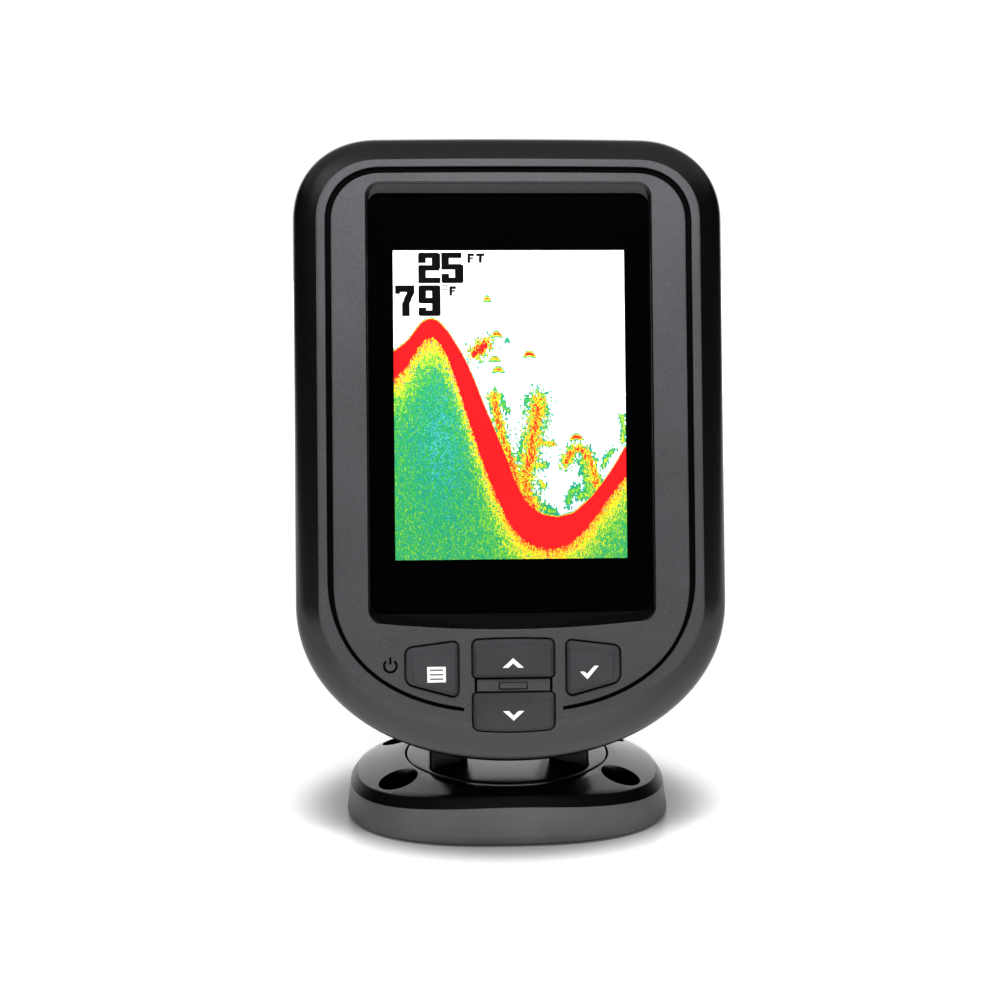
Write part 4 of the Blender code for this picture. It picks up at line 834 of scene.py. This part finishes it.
def make_rear():
    depth = SEAM_BACK - BACK
    rings = []
    outer = [(14.0, 1.0), (11.2, 0.985), (8.5, 0.93), (6.2, 0.845), (4.6, 0.75), (3.6, 0.66), (2.6, 0.52), (1.75, 0.37), (1.2, 0.25),
             (0.85, 0.12), (0.6, 0.03), (0.75, 0.0)]
    for s, d in outer:
        rings.append(back_ring(step(OUT_RIM, s, s * 0.95 if s > 2 else s, s), depth * d))
    rings.append(back_ring(step(OUT_RIM, 2.6, 2.5, 2.5), 0.0))
    for s, t, b, d in ((3.3, 3.2, 3.3, 0.25), (5.8, 5.6, 5.8, 0.62), (10.4, 9.8, 10.4, 0.86), (15.4, 14.4, 15.4, 0.89)):
        rings.append(back_ring(step(OUT_RIM, s, t, b), depth * d))
    bm = bmesh.new()
    rows = loft(bm, rings, caps=False)
    cross_cap(bm, rows[0])
    cross_cap(bm, rows[-1])
    rear = raw(bm)

    def skin(v):
        return SEAM_BACK - depth * share(v)
    joined = []
    bm = bmesh.new()
    n = 64
    ring = [(AXIS_V + LUG_R * math.cos(2 * math.pi * i / n), AXIS_W + LUG_R * math.sin(2 * math.pi * i / n)) for i in range(n)]
    pts = sorted(set(ring + [(-41.0, skin(-41.0) + 1.0), (-63.5, skin(-63.5) + 1.0)]))

    def half(seq):
        out = []
        for p in seq:
            while len(out) > 1 and ((out[-1][0] - out[-2][0]) * (p[1] - out[-2][1])
                                    - (out[-1][1] - out[-2][1]) * (p[0] - out[-2][0])) <= 0:
                out.pop()
            out.append(p)
        return out[:-1]
    profile = half(pts) + half(list(reversed(pts)))
    slim = grow(profile, -0.5)
    slimmer = grow(profile, -0.15)
    loft(bm, [[(x, v, w) for v, w in p] for x, p in
              ((-LUG_HALF, slim), (-LUG_HALF + 0.15, slimmer), (-LUG_HALF + 0.5, profile), (LUG_HALF - 0.5, profile),
               (LUG_HALF - 0.15, slimmer), (LUG_HALF, slim))])
    joined.append(raw(bm))
    bm = bmesh.new()
    for x, y in HOUSING_SCREWS:
        for sign in (-1, 1):
            ring = circle(sign * x, y, 4.2, 24)
            ends = [max(-29.0, skin(b) + 1.0) for a, b in ring]
            loft(bm, [[(a, b, e) for (a, b), e in zip(ring, ends)], level(ring, SEAM_BACK - 0.4)])
    joined.append(raw(bm))
    bm = bmesh.new()
    for x, y in BOARD_SCREWS:
        for sign in (-1, 1):
            loft(bm, [level(circle(sign * x, y, 2.6, 20), skin(y) + 1.0 if y < 0 else BACK + 2.0),
                      level(circle(sign * x, y, 2.6, 20), -10.6)])
    joined.append(raw(bm))
    carve(rear, joined, 'UNION')
    cutters = []
    bm = bmesh.new()
    turned(bm, [(BOLT_R + 0.35, -20.0), (BOLT_R + 0.35, 20.0)], (AXIS_V, AXIS_W), 32, axis='X')
    for x, y in HOUSING_SCREWS:
        for sign in (-1, 1):
            seat = screw_seat(y)
            turned(bm, [(3.1, -45.0), (3.1, seat), (1.7, seat), (1.7, SEAM_BACK + 3.0)], (sign * x, y), 36)
    for x, y in BOARD_SCREWS:
        for sign in (-1, 1):
            loft(bm, [level(circle(sign * x, y, 1.35, 16), -19.0), level(circle(sign * x, y, 1.35, 16), -8.0)])
    cutters.append(raw(bm))
    bm = bmesh.new()
    for x, y in SOCKETS:
        loft(bm, [level(circle(x, y, 8.1, 48), BACK - 6.0), level(circle(x, y, 8.1, 48), BACK + 6.0)])
    cutters.append(raw(bm))
    # grip lines moulded across the upper back
    bm = bmesh.new()
    for i in range(7):
        v = 40.0 - i * 4.2
        loft(bm, [level(rect(-21.0, 21.0, v - 0.75, v + 0.75, 0.7, 6), BACK - 1.0), level(rect(-21.0, 21.0, v - 0.75, v + 0.75, 0.7, 6), BACK - 0.001),
                  level(rect(-20.7, 20.7, v - 0.45, v + 0.45, 0.42, 6), BACK + 0.5)])
    cutters.append(raw(bm))
    carve(rear, cutters)
    put("back_shell", take(rear), ["back"], "head", ["rear_housing"], smooth=32)


def make_seal():
    """Rubber ring that closes the seam between the two shells."""
    outer, inner = step(OUT_RIM, 1.0, 1.0, 1.0), step(OUT_RIM, 2.3, 2.2, 2.2)
    bm = bmesh.new()
    loft(bm, [level(outer, SEAM_BACK - 0.02), level(outer, SEAM_FRONT + 0.02), level(inner, SEAM_FRONT + 0.02), level(inner, SEAM_BACK - 0.02)], loop=True)
    put("case_seal", bm, ["rubber"], "head", ["housing_gasket"], smooth=30)


def make_sockets():
    for name, (x, y), count in (("power", SOCKETS[0], 3), ("sonar", SOCKETS[1], 5)):
        bm = bmesh.new()
        # threaded mouth: shallow turns on the inner wall, a ribbed outer flange
        profile = [(6.0, -27.4)]
        for i in range(4):
            h = -29.2 - i * 1.2
            profile += [(6.0, h), (6.28, h - 0.3), (6.28, h - 0.55), (6.0, h - 0.85)]
        profile += [(6.0, BACK - 1.95), (6.3, BACK - 2.4), (8.8, BACK - 2.4), (9.25, BACK - 2.25), (9.55, BACK - 1.9),
                    (9.6, BACK - 1.5), (9.6, BACK - 0.35), (7.7, BACK - 0.3), (7.7, -25.4)]
        rings = []
        for r, h in profile:
            ring = []
            for i in range(96):
                t = 2 * math.pi * i / 96
                k = 0.12 * max(0.0, math.cos(12 * t)) if r > 9.5 else 0.0
                ring.append((x + (r - k) * math.cos(t), y + (r - k) * math.sin(t), h))
            rings.append(ring)
        loft(bm, rings)
        put(name + "_mouth", bm, ["socket"], "head", [name + "_socket"], smooth=30)


def make_case_screws():
    index = 0
    for x, y in HOUSING_SCREWS:
        for sign in (-1, 1):
            index += 1
            seat = screw_seat(y) - 0.3
            bm = bmesh.new()
            turned(bm, [(0.5, seat - 2.28), (1.6, seat - 2.25), (2.3, seat - 2.0), (2.62, seat - 1.55), (2.7, seat - 1.1), (2.7, seat),
                        (1.3, seat), (1.3, -5.4), (0.7, -4.8)], (sign * x, y), 32)
            screw = raw(bm)
            bm = bmesh.new()
            arm = [(0.32, 1.45), (-0.32, 1.45), (-0.32, 0.32), (-1.45, 0.32), (-1.45, -0.32), (-0.32, -0.32), (-0.32, -1.45),
                   (0.32, -1.45), (0.32, -0.32), (1.45, -0.32), (1.45, 0.32), (0.32, 0.32)]
            loft(bm, [[(sign * x + a, y + b, seat - 3.0) for a, b in arm], [(sign * x + a * 0.8, y + b * 0.8, seat - 1.0) for a, b in arm]])
            carve(screw, [raw(bm)])
            put("case_screw_%d" % index, take(screw), ["steel"], "head", ["housing_screw_%d" % index], smooth=35)


# ------------------------------------------------------------------------ base
def dome(r):
    d = max(0.0, r - POCKET_R)
    return BASE_TOP - 0.05 - DOME_SLOPE * d - 0.0022 * d * d


def base_outline(inset=0.0, segments=240, foot=0.0):
    a, b, n = BASE_A + (FOOT_A - BASE_A) * foot, BASE_B + (FOOT_B - BASE_B) * foot, BASE_N + (FOOT_N - BASE_N) * foot
    pts = []
    for i in range(segments):
        t = 2 * math.pi * i / segments
        c, s = math.cos(t), math.sin(t)
        pts.append(((a - inset) * math.copysign(abs(c) ** (2 / n), c), (b - inset) * math.copysign(abs(s) ** (2 / n), s)))
    return pts


def make_base():
    rim = base_outline()
    bore = [(r[0] * 8.0 / math.hypot(*r), r[1] * 8.0 / math.hypot(*r)) for r in rim]

    def pocket(radius):
        return [(x * radius / math.hypot(x, y), y * radius / math.hypot(x, y)) for x, y in rim]
    rings = [level(base_outline(0.35, foot=1.0), BASE_FOOT), level(base_outline(0.1, foot=1.0), BASE_FOOT + 0.12),
             level(base_outline(foot=1.0), BASE_FOOT + 0.4)]
    for k in (0.25, 0.5, 0.75):
        rings.append([(x, y, (BASE_FOOT + 0.4) * (1 - k) + (dome(math.hypot(x, y)) - 1.88) * k) for x, y in base_outline(0.0, foot=1.0 - k)])
    for inset, drop in ((0.0, 1.88), (0.03, 1.78), (0.10, 1.67), (0.20, 1.56), (1.52, 0.20), (1.62, 0.11), (1.76, 0.04), (1.95, 0.0)):
        rings.append([(x, y, dome(math.hypot(x, y)) - drop) for x, y in base_outline(inset)])
    last, first = base_outline(1.95), pocket(POCKET_R + 0.35)
    for t in (0.2, 0.4, 0.6, 0.8, 1.0):
        ring = [(a[0] + (b[0] - a[0]) * t, a[1] + (b[1] - a[1]) * t) for a, b in zip(last, first)]
        rings.append([(x, y, dome(math.hypot(x, y))) for x, y in ring])
    rings.append(level(pocket(POCKET_R + 0.12), dome(POCKET_R) - 0.10))
    rings.append(level(pocket(POCKET_R), dome(POCKET_R) - 0.32))
    rings.append(level(pocket(POCKET_R), 8.2))
    rings.append(level(bore, 8.2))
    rings.append(level(bore, 6.2))
    inner = base_outline(WALL + 0.9, foot=1.0)
    mid = [(a[0] + (b[0] - a[0]) * 0.62, a[1] + (b[1] - a[1]) * 0.62) for a, b in zip(bore, inner)]
    rings.append(level(mid, 6.2))
    rings.append([(x, y, min(6.2, dome(math.hypot(x, y)) - 2.4)) for x, y in base_outline(WALL + 0.7)])
    rings.append(level(inner, BASE_FOOT))
    bm = bmesh.new()
    loft(bm, rings, loop=True)
    base = raw(bm)
    bm = bmesh.new()
    for sx in (-1, 1):
        for sy in (-1, 1):
            c = circle(sx * SCREW_X, sy * SCREW_Y, COUNTERBORE_R + 1.0, 40)
            loft(bm, [level(c, PAD_TOP + 0.4), level(c, 6.6)])
    carve(base, [raw(bm)], 'UNION')
    bm = bmesh.new()
    for sx in (-1, 1):
        for sy in (-1, 1):
            turned(bm, [(DECK_HOLE_R, -1.0), (DECK_HOLE_R, 4.3), (DECK_HOLE_R + 0.3, 4.6), (COUNTERBORE_R, 4.6), (COUNTERBORE_R, 16.0)],
                   (sx * SCREW_X, sy * SCREW_Y), 72)
    carve(base, [raw(bm)])
    bm = take(base)
    # ease the counterbores' upper edges
    rims = []
    for e in bm.edges:
        if len(e.link_faces) == 2:
            mid = (e.verts[0].co + e.verts[1].co) / 2
            for sx in (-1, 1):
                for sy in (-1, 1):
                    d = math.hypot(mid.x - sx * SCREW_X, mid.y - sy * SCREW_Y)
                    if abs(d - COUNTERBORE_R) < 0.05 and mid.z > 6.8 and e.calc_face_angle(0) > 0.9:
                        rims.append(e)
    if rims:
        bmesh.ops.bevel(bm, geom=rims, offset=0.22, segments=3, profile=0.6, affect='EDGES', clamp_overlap=True)
    def look(centre, normal):
        outward = normal.x * centre.x + normal.y * centre.y > 0
        hole = math.hypot(abs(centre.x) - SCREW_X, abs(centre.y) - SCREW_Y) < COUNTERBORE_R + 0.3
        if not outward or hole or math.hypot(centre.x, centre.y) < POCKET_R + 2.0 or normal.z < -0.3:
            return 0
        # side walls take the lighter grey copy of the base plastic, a painted reflection of the floor; the rolled edge
        # takes the glossless black copy, painted shade
        return 1 if normal.z < 0.30 else 2 if normal.z < 0.88 else 0
    put("mount_base", bm, ["base", "skirt_painted_light", "edge"], "base", ["base_shell"], face=False, smooth=30, look_of=look)


def arm_profile(front, rear, radius):
    foot = BASE_TOP - 1.2
    pts = [(front, foot), (front, BASE_TOP)]
    a0, a1 = math.radians(172), math.radians(-8)
    steps = 40
    end0 = (AXIS_Y + radius * math.cos(a0), AXIS_Z + radius * math.sin(a0))
    for i in range(1, 8):
        pts.append((front + (end0[0] - front) * i / 8, BASE_TOP + (end0[1] - BASE_TOP) * i / 8))
    for i in range(steps + 1):
        t = a0 + (a1 - a0) * i / steps
        pts.append((AXIS_Y + radius * math.cos(t), AXIS_Z + radius * math.sin(t)))
    pts += [(rear + 1.0, BASE_TOP + 9.0), (rear, BASE_TOP), (rear, foot)]
    return pts


def make_yoke():
    bm = bmesh.new()
    turned(bm, [(7.65, 5.95), (7.65, 8.5), (DISC_R, 8.5), (DISC_R, BASE_TOP - 0.62), (DISC_R - 0.03, BASE_TOP - 0.42),
                (DISC_R - 0.14, BASE_TOP - 0.2), (DISC_R - 0.30, BASE_TOP - 0.02)] +
           [(r, BASE_TOP + 1.1 - 0.0065 * (r - 12.0) ** 2) for r in (24.5, 23.6, 22.4, 21.2, 20.0, 18.6, 17.2, 15.6, 13.8, 12.0)],
           (0, 0), 160)
    yoke = raw(bm)
    arms = []
    for sign in (-1, 1):
        bm = bmesh.new()
        # x, front, rear, eye radius: rounded corners either side of a flat front
        stations = [(ARM_IN, -9.0, 13.4, ARM_R - 1.35), (ARM_IN + 0.08, -9.5, 13.8, ARM_R - 0.95), (ARM_IN + 0.35, -10.0, 14.2, ARM_R - 0.5),
                    (ARM_IN + 0.8, -10.4, 14.55, ARM_R - 0.18), (ARM_IN + 1.4, -10.75, 14.8, ARM_R),
                    (ARM_OUT - 1.5, -14.1, 15.4, ARM_R), (ARM_OUT - 0.8, -14.2, 15.2, ARM_R - 0.2), (ARM_OUT - 0.3, -13.9, 14.8, ARM_R - 0.6),
                    (ARM_OUT - 0.05, -13.4, 14.3, ARM_R - 1.05), (ARM_OUT, -12.9, 13.9, ARM_R - 1.4)]
        loft(bm, [[(sign * x, y, z) for y, z in arm_profile(f, r, e)] for x, f, r, e in stations])
        arms.append(raw(bm))
    carve(yoke, arms, 'UNION')
    bm = bmesh.new()
    turned(bm, [(BOLT_R + 0.35, -30.0), (BOLT_R + 0.35, 30.0)], (AXIS_Y, AXIS_Z), 32, axis='X')
    cut1 = raw(bm)
    bm = bmesh.new()
    hexagon = circle(AXIS_Y, AXIS_Z, 5.0, 6, math.radians(30))
    loft(bm, [[(-30.0, y, z) for y, z in hexagon], [(-15.4, y, z) for y, z in hexagon]])
    cut2 = raw(bm)
    bm = bmesh.new()
    turned(bm, [(2.35, 2.0), (2.35, BASE_TOP - 1.8)], (0, 0), 32)
    carve(yoke, [cut1, cut2, raw(bm)])
    put("swivel_arms", take(yoke), ["base"], "swivel", ["swivel_yoke"], face=False, smooth=30)


def make_knob():
    lobes = []
    n = 144
    for i in range(n):
        t = 2 * math.pi * i / n
        lobes.append((1 + 0.075 * math.cos(6 * t), t))

    def star(r, x, k=1.0):
        return [(x, AXIS_Y + r * (1 + (m - 1) * k) * math.cos(t), AXIS_Z + r * (1 + (m - 1) * k) * math.sin(t)) for m, t in lobes]

    def fine(r, x):
        return [(x, AXIS_Y + r * (m - 0.012 * (0.5 + 0.5 * math.cos(36 * t))) * math.cos(t),
                 AXIS_Z + r * (m - 0.012 * (0.5 + 0.5 * math.cos(36 * t))) * math.sin(t)) for m, t in lobes]
    bm = bmesh.new()
    loft(bm, [star(2.85, 28.0, 0), star(2.85, 20.0, 0), star(5.5, 20.0, 0), star(5.7, 20.3, 0), star(6.0, 22.2, 0.1), star(6.6, 22.5, 0.4),
              star(8.0, 22.75), star(8.55, 23.05), star(8.78, 23.5), fine(8.8, 24.0), fine(8.8, 28.4), star(8.76, 28.9),
              star(8.5, 29.5), star(8.0, 30.0), star(7.0, 30.35, 0.9), star(5.4, 30.5, 0.4), star(4.9, 30.45, 0), star(4.6, 30.2, 0)])
    put("hand_knob", bm, ["knob"], "knob", ["tilt_knob"], face=False, smooth=34)


make_bezel()
make_keys()
make_icons()
make_lens()
make_picture()
make_rear()
make_seal()
make_sockets()
make_case_screws()
make_base()
make_yoke()
make_knob()


# ----------------------------------------------------------------------- stage
def make_stage():
    mat, tree, bsdf = tree_of("floor_paper")
    slow = noise(tree, 3.0, 3.0)
    bsdf.inputs["Roughness"].default_value = 0.28
    bsdf.inputs["Specular IOR Level"].default_value = 0.5
    bsdf.inputs["Emission Color"].default_value = (1, 1, 1, 1)
    # paper glows by itself; about the base its glow drops in a soft pool, a painted contact shadow
    coords = tree.nodes.new("ShaderNodeTexCoord").outputs["Object"]
    mapping = tree.nodes.new("ShaderNodeMapping")
    mapping.inputs["Scale"].default_value = (1000.0 / FOOT_A, 1000.0 / FOOT_B, 0.0)
    tree.links.new(coords, mapping.inputs["Vector"])
    reach = tree.nodes.new("ShaderNodeVectorMath")
    reach.operation = 'LENGTH'
    tree.links.new(mapping.outputs["Vector"], reach.inputs[0])
    painted_shadow_glow = tree.nodes.new("ShaderNodeMapRange")
    painted_shadow_glow.interpolation_type = 'SMOOTHERSTEP'
    painted_shadow_glow.inputs["From Min"].default_value = 0.95
    painted_shadow_glow.inputs["From Max"].default_value = 1.65
    painted_shadow_glow.inputs["To Min"].default_value = 0.06
    painted_shadow_glow.inputs["To Max"].default_value = 0.50
    tree.links.new(reach.outputs["Value"], painted_shadow_glow.inputs["Value"])
    # and far away it closes up with the white behind it
    away = tree.nodes.new("ShaderNodeMapRange")
    away.interpolation_type = 'SMOOTHERSTEP'
    away.inputs["From Min"].default_value = 9.0
    away.inputs["From Max"].default_value = 30.0
    away.inputs["To Max"].default_value = 0.55
    tree.links.new(reach.outputs["Value"], away.inputs["Value"])
    both = tree.nodes.new("ShaderNodeMath")
    tree.links.new(painted_shadow_glow.outputs[0], both.inputs[0])
    tree.links.new(away.outputs[0], both.inputs[1])
    tree.links.new(both.outputs[0], bsdf.inputs["Emission Strength"])
    # painted shadow: in the same pool about the base the paper's colour darkens towards black
    shade = tree.nodes.new("ShaderNodeMapRange")
    shade.interpolation_type = 'SMOOTHERSTEP'
    shade.inputs["From Min"].default_value = 0.95
    shade.inputs["From Max"].default_value = 1.45
    shade.inputs["To Min"].default_value = 0.30
    tree.links.new(reach.outputs["Value"], shade.inputs["Value"])
    tone = tree.nodes.new("ShaderNodeMix")
    tone.data_type = 'RGBA'
    tree.links.new(shade.outputs[0], tone.inputs[0])
    tone.inputs[6].default_value = (0.0, 0.0, 0.0, 1)
    tree.links.new(two_tone(tree, slow.outputs["Fac"], (0.88, 0.88, 0.88), (0.91, 0.91, 0.91)), tone.inputs[7])
    tree.links.new(tone.outputs[2], bsdf.inputs["Base Color"])
    mesh = bpy.data.meshes.new("floor")
    size = 12.0
    mesh.from_pydata([(-size, -size, 0), (size, -size, 0), (size, size, 0), (-size, size, 0)], [], [(0, 1, 2, 3)])
    mesh.materials.append(mat)
    floor = bpy.data.objects.new("floor", mesh)
    bpy.context.scene.collection.objects.link(floor)


def area(name, location, target, size, power, size_y=None, colour=(1, 1, 1)):
    light = bpy.data.lights.new(name, 'AREA')
    light.shape = 'RECTANGLE'
    light.size = size
    light.size_y = size_y or size
    light.energy = power
    light.color = colour
    obj = bpy.data.objects.new(name, light)
    bpy.context.scene.collection.objects.link(obj)
    obj.location = location
    obj.rotation_euler = (Vector(target) - Vector(location)).to_track_quat('-Z', 'Y').to_euler()
    obj.visible_camera = False
    return obj


def make_world():
    """White studio: bright behind and overhead, dim at the sides and in front, on a pale backdrop."""
    world = bpy.data.worlds.new("studio")
    bpy.context.scene.world = world
    world.use_nodes = True
    tree = world.node_tree
    tree.nodes.clear()
    coord = tree.nodes.new("ShaderNodeTexCoord")
    split = tree.nodes.new("ShaderNodeSeparateXYZ")
    tree.links.new(coord.outputs["Generated"], split.inputs[0])

    def rise(socket, a, b, top):
        node = tree.nodes.new("ShaderNodeMapRange")
        node.interpolation_type = 'SMOOTHSTEP'
        node.inputs["From Min"].default_value = a
        node.inputs["From Max"].default_value = b
        node.inputs["To Max"].default_value = top
        tree.links.new(socket, node.inputs["Value"])
        return node.outputs[0]

    def join(kind, a, b):
        node = tree.nodes.new("ShaderNodeMath")
        node.operation = kind
        for socket, value in zip(node.inputs, (a, b)):
            if isinstance(value, float):
                socket.default_value = value
            else:
                tree.links.new(value, socket)
        return node.outputs[0]
    over = join('MULTIPLY', rise(split.outputs["Z"], 0.46, 0.70, TOP_GLOW), rise(split.outputs["Y"], -0.88, -0.48, 1.0))
    light = join('MAXIMUM', rise(split.outputs["Y"], 0.50, 0.80, BACK_GLOW), over)
    light = join('MAXIMUM', light, 0.006)
    glow = tree.nodes.new("ShaderNodeBackground")
    tree.links.new(light, glow.inputs["Strength"])
    drop = tree.nodes.new("ShaderNodeBackground")
    drop.inputs["Strength"].default_value = 1.0
    path = tree.nodes.new("ShaderNodeLightPath")
    mix = tree.nodes.new("ShaderNodeMixShader")
    tree.links.new(path.outputs["Is Camera Ray"], mix.inputs[0])
    tree.links.new(glow.outputs[0], mix.inputs[1])
    tree.links.new(drop.outputs[0], mix.inputs[2])
    out = tree.nodes.new("ShaderNodeOutputWorld")
    tree.links.new(mix.outputs[0], out.inputs[0])
    for node in (glow, drop):
        node.inputs["Color"].default_value = (1, 1, 1, 1)


def make_camera():
    a, e, roll = -0.04606, 0.1544, -0.00202
    d = Vector((math.sin(a) * math.cos(e), -math.cos(a) * math.cos(e), math.sin(e)))
    r = Vector((math.cos(a), math.sin(a), 0))
    u = d.cross(r)
    c, s = math.cos(roll), math.sin(roll)
    r2, u2 = c * r + s * u, -s * r + c * u
    at = Vector((-0.01843981, -0.36729620, 0.12092867 + BASE_TOP * MM))
    cam = bpy.data.cameras.new("camera")
    cam.sensor_width = 36
    cam.lens = 36 * 1.518835319
    cam.clip_start, cam.clip_end = 0.01, 20
    obj = bpy.data.objects.new("camera", cam)
    bpy.context.scene.collection.objects.link(obj)
    obj.matrix_world = Matrix(((r2.x, u2.x, d.x, at.x), (r2.y, u2.y, d.y, at.y), (r2.z, u2.z, d.z, at.z), (0, 0, 0, 1)))
    bpy.context.scene.camera = obj


BACK_GLOW, TOP_GLOW = 1.20, 0.38
make_stage()
make_world()
make_camera()
area("top_soft_box", (-0.10, -0.85, 0.78), (0, 0, 0.08), 1.1, 1.5, 0.5)
area("brow_light", (0.0, -0.13, 0.265), (0, -0.02, 0.15), 0.17, 0.72, 0.05).visible_glossy = False
area("front_strip", (-0.02, -0.82, 0.060), (0, 0, 0.035), 0.55, 0.55, 0.10)
bpy.context.scene.view_settings.view_transform = 'Standard'
